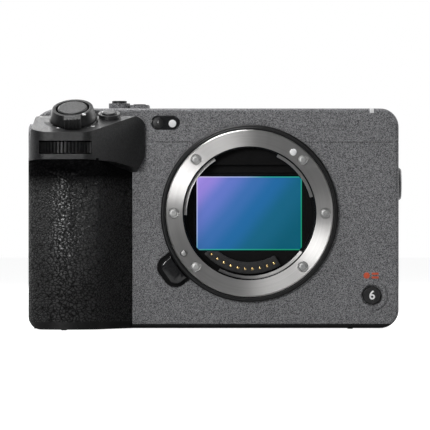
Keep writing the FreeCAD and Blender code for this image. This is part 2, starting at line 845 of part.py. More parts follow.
def grip_rubber():
    """Moulded cover over the grip's front and sides, with the window's hole."""
    outer = raised(grip_plan(plate_left, split_y), foot_thick, head_low)
    outer = outer.cut(block(-beyond, beyond, front_y, beyond, shoulder_z - seam_gap, beyond))
    core = raised(core_plan(rubber_thick), foot_thick - 1, head_low + 1)
    part = outer.cut(core).common(grip_side_form(-60, split_y))
    part = part.cut(finger_hollow(0))
    hollow_skin = outer.common(finger_hollow(rubber_thick)).cut(finger_hollow(0))
    part = join(part, hollow_skin)
    part = part.cut(pill(*remote_window, window_fit, grip_front - 2, grip_front + 6))
    return part.cut(head)


def battery_well():
    """The space that the battery slides into from below."""
    gap = battery_gap
    return block(battery_x - gap, battery_x + battery_wide + gap, battery_y - gap, battery_y + battery_deep + gap,
                 0, battery_z + battery_tall + gap)


def grip_frame():
    """Hard core of the grip and the lower half of its head, with the battery well and the dial's pocket."""
    limit = block(body_left - 1, plate_left, -60, split_y - 0.1, foot_thick, head_low)
    limit = limit.cut(block(-beyond, beyond, front_y, beyond, shoulder_z - seam_gap, beyond))
    core = raised(core_plan(rubber_thick + rubber_fit), foot_thick, head_low)
    core = core.common(limit).common(grip_side_form(-60, split_y))
    core = core.cut(finger_hollow(rubber_thick + rubber_fit))
    inner = block(body_left + wall + 0.1, plate_left, front_y, split_y - 0.1, shoulder_z - seam_gap, seam_z)
    lower_head = head.common(block(-95, 0, -60, front_y, 0, cap_low))
    part = join(core, inner, lower_head).cut(battery_well())
    pocket = rod(front_dial_radius + 0.35, (front_dial_x, front_dial_y, front_dial_low - 0.3), (0, 0, 1), 9)
    opening = block(*dial_window, grip_front - 1, front_dial_y, front_dial_low - 0.3, cap_low + 1)
    part = part.cut(pocket).cut(opening)
    pin = rod(dial_pin, (front_dial_x, front_dial_y, front_dial_low - 2), (0, 0, 1), cap_low - front_dial_low + 2)
    part = join(part, pin)
    part = part.cut(pill(*remote_window, window_fit, grip_front - 2, grip_front + rubber_thick + 1.6))
    bush_room = rod(bush_radius + 0.4, (body_left, left_boss_y, left_boss_z), (1, 0, 0), 8.5)
    return part.cut(bush_room)


def lean_way():
    """Direction of the shutter button's axis, leaning forward and outward."""
    return V(-math.tan(math.radians(lean_out)), -math.tan(math.radians(lean_forward)), 1).normalize()


seat = V(seat_x, seat_y, seat_z)
lean = lean_way()


def on_seat(radius, low, high, spot=None, way=None):
    """A bar along the leaning axis, between two heights over the seat."""
    spot = spot or seat
    way = way or lean
    return Part.makeCylinder(radius, high - low, spot + way * low, way)


def slope_way():
    """Direction square to the head's sloping top."""
    rise = (head_top - slope_front[1]) / (slope_back_y - slope_front[0])
    return V(0, -rise, 1).normalize()


slope = slope_way()


def slope_spot():
    """Middle of the slope button's collar, on the head's sloping top."""
    rise = (head_top - slope_front[1]) / (slope_back_y - slope_front[0])
    return V(slope_x, slope_y, slope_front[1] + rise * (slope_y - slope_front[0]))


def grip_head_cap():
    """Smooth top of the head, with the shutter button's raised seat and the slope button's collar."""
    part = head.common(block(-95, 0, -60, front_y, cap_low, 95))
    seat_block = on_seat(pedestal_radius, -6, 0).common(block(-95, 0, -60, front_y, cap_low, 95))
    collar = on_seat(slope_collar, -4, slope_collar_high, slope_spot(), slope)
    part = join(part, seat_block)
    part = part.cut(on_seat(zoom_radius + zoom_tab + zoom_rib_proud + zoom_room, 0, 12))
    part = join(part, collar)
    part = part.cut(on_seat(shutter_stem + button_fit, -5.5, 5))
    part = part.cut(on_seat(slope_button + button_fit, -1.2, 5, slope_spot(), slope))
    part = part.cut(rod(dial_pin + 0.1, (front_dial_x, front_dial_y, cap_low - 1), (0, 0, 1), 1.02))
    return part


def grip_remote_window():
    """Smooth dark window in the grip's front, level with the rubber."""
    solid = pill(*remote_window, 0, grip_front - 2, grip_front + rubber_thick + 1.5)
    return solid.common(raised(grip_plan(plate_left, split_y), 0, 60)).cut(finger_hollow(0))


def front_dial():
    """Ribbed disc that the forefinger turns through the head's window."""
    disc = knurled(front_dial_radius, 0.5, front_dial_ribs, front_dial_high)
    disc.translate(V(front_dial_x, front_dial_y, front_dial_low))
    return disc.cut(rod(dial_pin + 0.05, (front_dial_x, front_dial_y, front_dial_low - 1), (0, 0, 1), 9))


def zoom_lever():
    """Tapered ring round the shutter button with a ribbed tab for the forefinger."""
    body_ring = Part.makeCone(zoom_radius, zoom_top_radius, zoom_high, V(0, 0, running_gap))
    front = -zoom_radius - zoom_tab
    tab = flat(((-zoom_tab_wide / 2, 0, 0), (zoom_tab_wide / 2, 0, 0),
                (zoom_tab_wide / 2 - 0.4, front, 0.8), (-zoom_tab_wide / 2 + 0.4, front, 0.8)),
               running_gap, running_gap + zoom_high - 0.1)
    part = join(body_ring, tab)
    pitch = zoom_tab_wide / (zoom_ribs + 0.3)
    for index in range(zoom_ribs):
        x = (index - (zoom_ribs - 1) / 2) * pitch
        part = part.fuse(block(x - 0.3, x + 0.3, front - zoom_rib_proud, front + 1.0, running_gap,
                               running_gap + zoom_high))
    part = part.removeSplitter()
    part = part.cut(Part.makeCylinder(shutter_radius + shutter_room, 9, V(0, 0, -1)))
    return set_on_seat(part)


def set_on_seat(part):
    """Move a piece made round the upright axis onto the leaning seat."""
    part = part.copy()
    part.rotate(V(0, 0, 0), V(0, 0, 1).cross(lean), math.degrees(lean.getAngle(V(0, 0, 1))))
    part.translate(seat)
    return part


def shutter_button():
    """Round button on a stem in the middle of the zoom lever."""
    cap = Part.makeCylinder(shutter_radius, shutter_high - shutter_press - running_gap,
                            V(0, 0, shutter_press + running_gap))
    cap = bevel(cap, 0.45, lies_at_z(shutter_high))
    stem = Part.makeCylinder(shutter_stem, shutter_press + running_gap + 4.0, V(0, 0, -4.0))
    return set_on_seat(join(cap, stem))


def slope_button_piece():
    """Small round custom button on the head's slope."""
    part = Part.makeCylinder(slope_button, slope_button_high + 0.2, V(0, 0, -0.2))
    part = bevel(part, 0.35, lies_at_z(slope_button_high))
    part.rotate(V(0, 0, 0), V(0, 0, 1).cross(slope), math.degrees(slope.getAngle(V(0, 0, 1))))
    part.translate(slope_spot())
    return part


keep("grip_rubber", grip_rubber())
keep("grip_frame", grip_frame())
keep("grip_head_cap", grip_head_cap())
keep("grip_remote_window", grip_remote_window())
keep("front_dial", front_dial())
keep("zoom_lever", zoom_lever())
keep("shutter_button", shutter_button())
keep("slope_button", slope_button_piece())


# Lens mount, throat and contacts

def mount_ring():
    """Steel bayonet ring: a lip at the throat, three claws in an undercut behind it and six screw seats."""
    deep = ring_seat - flange_y
    part = rod(ring_radius, (0, flange_y, axis_z), (0, 1, 0), deep)
    part = bevel(part, 0.4, lies_at_y(flange_y))
    part = part.cut(rod(throat_radius, (0, flange_y - 1, axis_z), (0, 1, 0), deep + 2))
    part = part.cut(Part.makeCone(throat_radius + throat_bevel, throat_radius, throat_bevel,
                                  V(0, flange_y, axis_z), V(0, 1, 0)))
    under = rod(throat_radius + undercut, (0, flange_y + lip_length + 0.5, axis_z), (0, 1, 0), deep)
    part = part.cut(under)
    claw_y = flange_y + lip_length + 0.5 + claw_gap
    for first, last in claw_spans:
        part = part.fuse(sector(throat_radius + undercut + 0.3, throat_radius - claw_reach, first, last,
                                claw_y, claw_y + claw_thick))
    part = part.removeSplitter()
    for angle in screw_angles:
        x, z = around_axis(screw_circle, angle)
        part = part.cut(rod(screw_head + 0.15, (x, flange_y - 1, z), (0, 1, 0), 1 + screw_head_high + 0.1))
    x, z = around_axis(lock_circle, lock_angle)
    part = part.cut(rod(lock_radius + 0.06, (x, flange_y - 1, z), (0, 1, 0), deep + 2))
    x, z = around_axis(index_circle, index_angle)
    return part.cut(rod(index_radius, (x, flange_y - 1, z), (0, 1, 0), 1 + index_depth))


def mount_skirt():
    """Thin black trim ring round the steel ring."""
    start = (0, front_y - skirt_proud, axis_z)
    return ring(ring_radius + ring_fit + skirt_width, ring_radius + ring_fit, start, (0, 1, 0), skirt_proud)


def mount_screws():
    """Heads of the six screws that hold the ring, each on the floor of its seat."""
    places = [around_axis(screw_circle, angle) for angle in screw_angles]
    return [rod(screw_head, (x, flange_y + 0.1, z), (0, 1, 0), screw_head_high) for x, z in places]


def mount_frame():
    """Black frame that carries the ring: plate, round chamber, light gate and four posts to the heat sink."""
    half = frame_half
    plate = block(-half, half, ring_seat, ring_seat + frame_plate, frame_low, frame_high)
    box_back = shutter_front
    chamber_box = block(-box_half_x, box_half_x, ring_seat + frame_plate, box_back,
                        axis_z - box_half_z, axis_z + box_half_z)
    posts = [block(x - frame_post, x + frame_post, ring_seat + frame_plate, sink_front(), z - frame_post, z + frame_post)
             for x in (-post_x(), post_x()) for z in (axis_z - post_z(), axis_z + post_z())]
    part = join(plate, chamber_box, *posts)
    part = part.cut(rod(throat_radius + undercut, (0, ring_seat - 1, axis_z), (0, 1, 0), 1 + 1.6))
    chamber = rod(chamber_radius, (0, ring_seat, axis_z), (0, 1, 0), box_back - gate_thick - ring_seat)
    room = block(-30, 30, ring_seat - 1, box_back, axis_z - chamber_low, axis_z + chamber_top)
    part = part.cut(chamber.common(room))
    gate = panel(-gate_wide / 2, gate_wide / 2, axis_z - gate_high / 2, axis_z + gate_high / 2, 1.5,
                 box_back - gate_thick - 1, box_back + 1)
    part = part.cut(gate)
    contact_bed = sector(contact_outer + 0.3, contact_inner - 0.3, contact_span[0] - 0.6, contact_span[1] + 0.6,
                         ring_seat - 1, contact_back())
    part = part.cut(contact_bed.common(block(-30, 30, -30, 0, 0, axis_z - chamber_low + 1)))
    x, z = around_axis(lock_circle, lock_angle)
    part = part.cut(rod(lock_radius + 0.2, (x, ring_seat - 1, z), (0, 1, 0), 1 + release_travel + 0.6))
    return part.cut(release_shape(0.6, ring_seat - 1, ring_seat + frame_plate + 1))


def sink_front():
    """Front face of the heat sink's plate, behind the moving sensor stage."""
    return stage_back + shift_gap


def post_x():
    """Half distance between the frame's posts along X."""
    return frame_half - frame_post


def post_z():
    """Half distance between the frame's posts along Z."""
    return sink_half_z - frame_post - 1.0


def contact_back():
    """Rear face of the contact block, on the mount frame."""
    return ring_seat + 1.5


def contact_block():
    """Moulded block in the lower part of the throat that carries the contact pins."""
    part = sector(contact_outer, contact_inner, *contact_span, contact_face_y, contact_back())
    part = part.common(block(-30, 30, -30, 0, 0, axis_z - chamber_low))
    for x, z in pin_places():
        part = part.cut(pin_bar(x, z, 0.05, contact_face_y - 1))
    return part


def pin_bar(x, z, margin, front):
    """A square bar where a contact pin stands, grown by a margin, back to the pin's foot."""
    half = pin_half + margin
    return block(x - half, x + half, front, contact_face_y + pin_deep, z - half, z + half)


def pin_places():
    """X and Z of the contact pins, evenly spread on their circle."""
    pitch = (pin_last - pin_first) / (pin_count - 1)
    return [around_axis(pin_circle, pin_first + pitch * index) for index in range(pin_count)]


def contact_pins():
    """Small gold pins that stand a little out of the contact block."""
    return [pin_bar(x, z, 0, contact_face_y - pin_proud) for x, z in pin_places()]


def lens_release_button():
    """Rounded button beside the ring. Pressed in, it draws the lock pin back."""
    front = front_y - release_proud
    part = release_shape(0, front, ring_seat + frame_plate - release_travel - 0.3)
    return bevel(part, 0.5, lies_at_y(front))


def lens_lock_pin():
    """Pin that keeps a mounted lens from turning."""
    x, z = around_axis(lock_circle, lock_angle)
    tip = flange_y - lock_proud
    part = rod(lock_radius, (x, tip, z), (0, 1, 0), ring_seat - tip + 0.4)
    return bevel(part, 0.3, lies_at_y(tip))


keep("mount_ring", mount_ring())
keep("mount_skirt", mount_skirt())
keep("mount_screws", *mount_screws())
keep("mount_frame", mount_frame())
keep("contact_block", contact_block())
keep("contact_pins", *contact_pins())
keep("lens_release_button", lens_release_button())
keep("lens_lock_pin", lens_lock_pin())


# Shutter

def blade_travels():
    """How far each blade rises to close the gate, the leading blade first."""
    step = blade_high - blade_overlap
    return [3 * step, 2 * step, step]


def blade_low():
    """Lower edge of the parked blades."""
    return axis_z - shutter_gate_z / 2 - blade_margin - blade_high


def shutter_frame():
    """Flat case with the gate in the middle and a slot for the blades."""
    part = block(-shutter_half_x, shutter_half_x, shutter_front, shutter_back,
                 axis_z - shutter_half_z, axis_z + shutter_half_z)
    slot_deep = 3 * blade_thick + 4 * blade_gap
    slot_y = shutter_front + shutter_skin
    part = part.cut(block(-blade_half_x - 0.15, blade_half_x + 0.15, slot_y, slot_y + slot_deep,
                          blade_low() - 0.15, blade_low() + blade_high + blade_travels()[0] + 0.3))
    gate = panel(-shutter_gate_x / 2, shutter_gate_x / 2, axis_z - shutter_gate_z / 2, axis_z + shutter_gate_z / 2,
                 1.0, shutter_front - 1, shutter_back + 1)
    return part.cut(gate)


def shutter_blade(index):
    """One thin dark blade, parked under the gate."""
    y = shutter_front + shutter_skin + blade_gap + index * (blade_thick + blade_gap)
    return block(-blade_half_x, blade_half_x, y, y + blade_thick, blade_low(), blade_low() + blade_high)


keep("shutter_frame", shutter_frame())
for index in range(3):
    keep("shutter_blade_" + str(index + 1), shutter_blade(index))


# Sensor on its moving stage, heat sink, fan and main board

def sensor_glass():
    """Cover glass with bevelled corners."""
    x, z = glass_wide / 2, glass_high / 2
    cut = glass_chamfer
    corners = [(-x + cut, -z), (x - cut, -z), (x, -z + cut), (x, z - cut), (x - cut, z), (-x + cut, z),
               (-x, z - cut), (-x, -z + cut)]
    glass = upright([(px, axis_z + pz, 0) for px, pz in corners], -sensor_depth - glass_thick, -sensor_depth)
    return glass


def sensor_unit():
    """Holder round the sensor: it slides up and down in the stage."""
    part = block(-holder_half_x, holder_half_x, holder_front, holder_back, axis_z - holder_half_z, axis_z + holder_half_z)
    bed = block(-glass_wide / 2 - 0.1, glass_wide / 2 + 0.1, -10, -sensor_depth, axis_z - glass_high / 2 - 0.1,
                axis_z + glass_high / 2 + 0.1)
    return part.cut(bed)


def sensor_stage():
    """Frame round the holder: it slides from side to side and guides the holder."""
    room_z = holder_half_z + shift_travel + shift_gap
    part = block(-stage_half_x, stage_half_x, stage_front, stage_back, axis_z - stage_half_z, axis_z + stage_half_z)
    return part.cut(block(-holder_half_x - 0.1, holder_half_x + 0.1, -10, 10, axis_z - room_z, axis_z + room_z))


def heat_sink():
    """Ribbed metal plate behind the sensor, with the fan's shaft."""
    front = sink_front()
    part = block(-sink_half_x, sink_half_x + sink_wing, front, front + sink_base,
                 axis_z - sink_half_z, axis_z + sink_half_z)
    count = int((2 * sink_half_z - 2 * fin_margin) / fin_pitch)
    fins = []
    for index in range(count):
        z = axis_z - sink_half_z + fin_margin + fin_pitch * index
        right = fan_x - fan_radius - 2
        fins.append(block(-sink_half_x + 3, right, front + sink_base, front + sink_base + fin_high,
                          z, z + fin_thick))
    shaft = rod(fan_shaft, (fan_x, front, fan_z), (0, 1, 0), sink_base + 1.0 + fan_high)
    collar = rod(fan_shaft + 1.2, (fan_x, front, fan_z), (0, 1, 0), sink_base + 0.8)
    return join(part, shaft, collar, *fins)


def fan_rotor():
    """Flat blower wheel with straight blades that turns on the heat sink's shaft."""
    start_y = sink_front() + sink_base + 1.0
    part = rod(fan_hub, (fan_x, start_y, fan_z), (0, 1, 0), fan_high)
    disc = rod(fan_radius - 0.3, (fan_x, start_y, fan_z), (0, 1, 0), 0.7)
    blades = []
    for index in range(fan_blades):
        blade = block(fan_hub - 0.4, fan_radius - 0.6, 0, fan_high, 1.0, 1.6)
        blade.rotate(V(0, 0, 0), V(0, 1, 0), 360 * index / fan_blades)
        blade.translate(V(fan_x, start_y, fan_z))
        blades.append(blade)
    part = join(part, disc, *blades)
    return part.cut(rod(fan_shaft + 0.05, (fan_x, start_y - 1, fan_z), (0, 1, 0), fan_high + 3))


def main_board():
    """Circuit board with its processor and a few chips."""
    part = block(board_left, board_right, board_front, board_front + board_thick, board_low, board_high)
    chips = [block(x, x + wide, board_front - chip_high, board_front, z, z + high) for x, z, wide, high in
             ((-16.0, 26.0, 18.0, 18.0), (8.0, 30.0, 11.0, 14.0), (8.0, 14.0, 9.0, 9.0), (-20.0, 12.0, 12.0, 8.0))]
    return join(part, *chips)


def card_slots():
    """Metal cage with two card slots that open behind the card door."""
    left = body_left + wall + 1.4 + 0.3
    part = block(left, left + card_deep + 2, card_box_front, card_box_rear(), card_z - 2, card_z + card_wide + 2)
    for y in card_y:
        part = part.cut(block(left - 1, left + card_deep, y, y + card_slot, card_z, card_z + card_wide))
    return part


keep("sensor_glass", sensor_glass())
keep("sensor_unit", sensor_unit())
keep("sensor_stage", sensor_stage())
keep("heat_sink", heat_sink())
keep("fan_rotor", fan_rotor())
keep("main_board", main_board())
keep("card_slots", card_slots())


# Windows, controls on the front and the top

def press_button(radius, tip, way, length):
    """A round push button whose face is at the tip and looks along a way."""
    away = V(*way)
    return Part.makeCylinder(radius, length, V(*tip) - away * length, away)


def front_record_button():
    """Round button in the raised collar at the lower right of the front."""
    tip = (record_x, front_y - record_collar_proud + 0.1, record_z)
    return press_button(record_button, tip, (0, -1, 0), record_collar_proud + wall + 1.6)


def top_record_button():
    """Round black button in the collar on the roof."""
    tip = (top_record_x, top_record_y, body_height + top_button_high)
    return press_button(top_button, tip, (0, 0, 1), top_button_high + wall + 1.0)


def custom_button(index):
    """One of the small buttons along the raised strip."""
    tip = (sum(plateau) / 2, custom_y[index], body_height + plateau_high + custom_high)
    return press_button(custom_radius, tip, (0, 0, 1), plateau_high + custom_high + wall + 1.0)


def power_switch():
    """Turning lever in its round recess on the roof."""
    low = body_height - power_sink + 0.05
    top = body_height + power_proud
    disc = rod(power_radius, (power_x, power_y, low), (0, 0, 1), top - low)
    finger = flat(((power_x - 1.9, power_y, 0), (power_x - 1.3, power_y - power_reach, 1.1),
                   (power_x + 1.3, power_y - power_reach, 1.1), (power_x + 1.9, power_y, 0)),
                  body_height + 0.2, top)
    pin = rod(1.0, (power_x, power_y, body_height - wall - 0.8), (0, 0, 1), 1.8)
    return join(disc, finger, pin)


keep("front_sensor_window", pill(*sensor_window, 0, front_y + 0.05, front_y + wall))
keep("front_record_button", front_record_button())
keep("top_record_button", top_record_button())
for index in range(3):
    keep("top_button_" + str(index + 1), custom_button(index))
keep("power_switch", power_switch())


# Controls on the rear

def rear_dial():
    """Ribbed thumb dial that stands a little out of the top cover's rear wall."""
    disc = knurled(rear_dial_radius, 0.45, rear_dial_ribs, rear_dial_high)
    disc.translate(V(rear_dial_x, rear_dial_y, rear_dial_low))
    return disc.cut(rod(dial_pin + 0.05, (rear_dial_x, rear_dial_y, rear_dial_low - 1), (0, 0, 1), 9))


def control_wheel():
    """Flat ribbed ring round the centre button."""
    high = wheel_sink - 0.1 + wheel_proud
    disc = knurled(wheel_radius, 0.4, wheel_ribs, high)
    disc = disc.cut(Part.makeCylinder(wheel_bore, high + 2, V(0, 0, -1)))
    disc.rotate(V(0, 0, 0), V(1, 0, 0), -90)
    disc.translate(V(wheel_x, block_y - wheel_sink + 0.1, wheel_z))
    return disc


def wheel_button():
    """Centre button of the control wheel."""
    tip = (wheel_x, block_y + wheel_button_proud, wheel_z)
    return press_button(wheel_bore - 0.4, tip, (0, 1, 0), wheel_button_proud + wheel_sink + 1.2 - rear_press - 0.1)


def rear_push(name):
    """One of the small round buttons on the control block."""
    x, z = rear_buttons[name]
    tip = (x, block_y + rear_button_proud, z)
    return press_button(rear_button, tip, (0, 1, 0), rear_button_proud + rear_button_sink - rear_press - 0.1)


def joystick_gimbal():
    """Square frame that tilts up and down on two pins in the joystick's well."""
    y = stick_y()
    half = gimbal_half
    room = stick_hub + 0.4
    part = block(stick_x - half, stick_x + half, y - 0.8, y + 0.8, stick_z - half, stick_z + half)
    part = part.cut(block(stick_x - room, stick_x + room, y - 1, y + 1, stick_z - room, stick_z + room))
    for way in (-1, 1):
        part = part.fuse(rod(0.5, (stick_x + way * (half - 0.4), y, stick_z), (way, 0, 0), 2.6))
    part = part.removeSplitter()
    return part.cut(rod(0.56, (stick_x, y, stick_z - 6), (0, 0, 1), 12))


def joystick():
    """Stick with a ribbed cap. It tilts sideways in the gimbal."""
    y = stick_y()
    half = stick_hub
    part = block(stick_x - half, stick_x + half, y - 1.2, y + 1.2, stick_z - half, stick_z + half)
    part = part.fuse(rod(1.3, (stick_x, y, stick_z), (0, 1, 0), block_y - y + 1.6))
    cap = knurled(stick_cap, 0.35, 16, 1.8)
    cap.rotate(V(0, 0, 0), V(1, 0, 0), -90)
    cap.translate(V(stick_x, block_y + 1.2, stick_z))
    axle = rod(0.5, (stick_x, y, stick_z - gimbal_half + 0.1), (0, 0, 1), 2 * gimbal_half - 0.2)
    return join(part, cap, axle)


def thumb_rest():
    """Curved rubber rest for the thumb, set on the control block."""
    low_x, high_x = thumb_x
    low_z, high_z = thumb_z
    top = block_y + thumb_proud
    hook = flat(((low_x, block_y, 0), (high_x, block_y, 0), (high_x - 0.5, block_y + 2.0, 0.8),
                 (high_x - 9.0, block_y + 3.5, 12.0), (low_x + 8.5, top, 2.5), (low_x + 2.0, top - 1.5, 2.5)),
                low_z, high_z)
    face = upright(((low_x, low_z, 3.5), (high_x, low_z, 5.0), (high_x, high_z, 4.0), (low_x, high_z, 2.5)),
                   block_y, top + 1)
    return hook.common(face)


keep("rear_dial", rear_dial())
keep("control_wheel", control_wheel())
keep("wheel_button", wheel_button())
for name in rear_buttons:
    keep(name, rear_push(name))
keep("joystick_gimbal", joystick_gimbal())
keep("joystick", joystick())
keep("thumb_rest", thumb_rest())


# Battery, doors, sockets, threads and shoe

def battery():
    """Slim battery block with three contact grooves in its upper end."""
    part = block(battery_x, battery_x + battery_wide, battery_y, battery_y + battery_deep,
                 battery_z, battery_z + battery_tall)
    part = bevel(part, 0.6, lambda edge: abs(edge.BoundBox.ZLength - battery_tall) < 1e-4)
    for index in range(3):
        x = battery_x + 5.0 + 4.0 * index
        part = part.cut(block(x, x + 1.4, battery_y + 3.0, battery_y + 7.0, battery_z + battery_tall - 1.6, 99))
    return part


def battery_door():
    """Bottom door with its hinge barrel along the inner edge and a slot for the latch."""
    x, z, radius = battery_barrel()
    plate = flat(((door_left, door_front, 2.5), (x, door_front, 0), (x, door_rear, 0), (door_left, door_rear, 2.5)),
                 door_low, door_low + door_thick)
    swing_room = math.hypot(x - door_step() - door_gap, z) + 0.2
    plate = plate.common(grip_door_edge()).cut(block(door_step(), beyond, -beyond, barrel_front, -1, 9))
    plate = plate.cut(rod(swing_room, (x, door_front - 5, z), (0, 1, 0), barrel_front - door_front + 5))
    barrel = rod(radius, (x, barrel_front, z), (0, 1, 0), door_rear - barrel_front)
    part = join(plate, barrel)
    slot = latch_slot()
    return part.cut(block(slot[0], slot[1], slot[2], slot[3], door_low - 1, door_low + 1.0))


def grip_door_edge():
    """The grip's plan kept back by the rim round the battery door."""
    return raised(grip_plan(plate_left, split_y).makeOffset2D(-door_rim), 0, 5)


def latch_slot():
    """Limits of the latch's shallow track in the battery door, along X and Y."""
    middle = (door_front + door_rear) / 2
    left = door_left + 3.0
    return left, left + latch_deep + latch_travel + 0.4, middle - latch_wide / 2 - 0.2, middle + latch_wide / 2 + 0.2


def battery_latch():
    """Ribbed slide that frees the battery door."""
    left, right, front, rear = latch_slot()
    low = door_low + 0.15
    part = block(left + 0.2, left + 0.2 + latch_deep, front + 0.2, rear - 0.2, low, door_low + 0.95)
    for index in range(3):
        x = left + 0.8 + 0.9 * index
        part = part.cut(block(x, x + 0.4, front + 1.0, rear - 1.0, low - 1, low + 0.3))
    return part


def hinged_side_door(barrel, way, outer_x, low, high, rear):
    """A side door: a thin plate from its hinge barrel back to its free edge."""
    x, y, radius = barrel
    inner = outer_x - way * side_door_thick
    x0, x1 = min(inner, outer_x), max(inner, outer_x)
    plate = sideways(((y, low, 0), (rear, low, 1.6), (rear, high, 1.6), (y, high, 0)), x0, x1)
    pin = rod(radius, (x, y, low), (0, 0, 1), high - low)
    return join(plate, pin)


def card_door():
    """Door over the card slots on the grip side."""
    return hinged_side_door(card_barrel(), -1, body_left, card_door_z[0], card_door_z[1], card_door_y[1])


def port_door(low, high):
    """Door over a row of sockets on the right side."""
    return hinged_side_door(port_barrel(), 1, body_right, low, high, port_door_y[1])


def port_connectors():
    """Microphone, headphone, video, data and control sockets behind the port doors."""
    face_x = body_right - side_door_thick - 0.35
    sockets = []
    for index, (half_y, half_z, y, z) in enumerate(connector_places()):
        part = block(face_x - connector_deep, face_x, y - half_y, y + half_y, z - half_z, z + half_z)
        if index < 2:
            part = part.cut(rod(1.75, (face_x + 1, y, z), (-1, 0, 0), connector_deep))
        else:
            rim = 0.45
            part = part.cut(block(face_x - 5.0, face_x + 1, y - half_y + rim, y + half_y - rim,
                                  z - half_z + rim, z + half_z - rim))
            part = part.fuse(block(face_x - 5.5, face_x - 0.8, y - 0.3, y + 0.3, z - half_z + 1.1, z + half_z - 1.1))
        sockets.append(part.removeSplitter())
    return sockets


def bush(mouth, way, radius, deep):
    """A round metal bush with a blind threaded hole."""
    inward = V(*way) * -1
    part = Part.makeCylinder(radius, deep + 1.0, V(*mouth), inward)
    hole = Part.makeCylinder(thread_radius, deep, V(*mouth), inward)
    return part.cut(hole)


def thread_bushes():
    """Accessory thread bushes on the roof and both sides, and the tripod bush."""
    bushes = [bush((x, y, body_height), (0, 0, 1), bush_radius, thread_deep) for x, y in top_threads]
    bushes.append(bush((body_left - left_proud, left_boss_y, left_boss_z), (-1, 0, 0), bush_radius, thread_deep))
    bushes.append(bush((body_right + right_proud, right_boss_y, right_boss_z), (1, 0, 0), bush_radius, thread_deep))
    bushes.append(bush((0, 0, 0), (0, 0, -1), tripod_bush, thread_deep))
    return bushes


def accessory_shoe():
    """Steel shoe in the roof's pocket: a bed with a channel under two inward lips."""
    low = shoe_floor()
    half = shoe_channel / 2 + shoe_side
    high = body_height - shoe_below
    start, end = shoe_front, shoe_front + shoe_length
    part = block(shoe_x - half, shoe_x + half, start, end, low, high)
    part = part.cut(block(shoe_x - shoe_channel / 2, shoe_x + shoe_channel / 2, start + shoe_side, end + 1,
                          low + shoe_skin, low + shoe_skin + shoe_slot))
    return part.cut(block(shoe_x - shoe_throat / 2, shoe_x + shoe_throat / 2, start + shoe_side, end + 1,
                          low + shoe_skin, high + 1))


keep("battery", battery())
keep("battery_door", battery_door())
keep("battery_latch", battery_latch())
keep("card_door", card_door())
keep("port_door_lower", port_door(*port_low_z))
keep("port_door_upper", port_door(*port_high_z))
keep("port_connectors", *port_connectors())
keep("thread_bushes", *thread_bushes())
keep("accessory_shoe", accessory_shoe())


# Monitor

def monitor_front():
    """Y of the monitor's inner face when it is folded in."""
    return rear_y + monitor_gap


def monitor_housing():
    """Thin case of the monitor with a shallow bed for its glass."""
    back = monitor_front() + monitor_thick
    part = panel(monitor_left, monitor_right, monitor_low, monitor_high, monitor_corner, monitor_front(), back)
    part = bevel(part, 0.5, lies_at_y(back))
    bed = panel(*screen_limits(0.05), 2.0, back - screen_glass, back + 1)
    part = part.cut(bed)
    z = (barrel_low + barrel_high) / 2
    return part.cut(rod(1.55, (monitor_right - 5.0, hinge_y, z), (1, 0, 0), 6))


def screen_limits(margin):
    """X and Z limits of the monitor's glass, grown by a margin."""
    return (monitor_left + screen_border - margin, monitor_right - screen_border + margin,
            monitor_low + screen_border - margin, monitor_high - screen_border + margin)


def monitor_glass():
    """Glass over the display."""
    back = monitor_front() + monitor_thick
    return panel(*screen_limits(0), 2.0, back - screen_glass, back)


def monitor_arm():
    """Hinge arm: an upright barrel on two pins, and the level pivot that enters the monitor."""
    middle = (barrel_low + barrel_high) / 2
    barrel = rod(hinge_barrel, (hinge_x, hinge_y, barrel_low), (0, 0, 1), barrel_high - barrel_low)
    pins = rod(hinge_pin, (hinge_x, hinge_y, barrel_low - hinge_pin_long), (0, 0, 1),
               barrel_high - barrel_low + 2 * hinge_pin_long)
    web = block(monitor_right + 0.2, hinge_x, hinge_y - 2.2, hinge_y + 2.3, middle - 11, middle + 11)
    pivot = rod(1.5, (monitor_right - 4.5, hinge_y, middle), (1, 0, 0), 5)
    return join(barrel, pins, web, pivot)


keep("monitor_housing", monitor_housing())
keep("monitor_glass", monitor_glass())
keep("monitor_arm", monitor_arm())


os.makedirs("parts", exist_ok=True)
for name, shape in pieces.items():
    shape.exportStep("parts/" + name + ".step")
print(len(pieces), "pieces written")
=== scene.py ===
# %% [markdown]
# A compact cinema camera body, seen straight from the front, with no lens on it.
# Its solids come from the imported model. This lesson gives them their finishes,
# adds the trim that is too small for the solids, and sets the light and the camera.
# Lengths are written in millimetres and turned into metres by one function.

# %% Load the model
import math

import bpy
from mathutils import Matrix, Vector


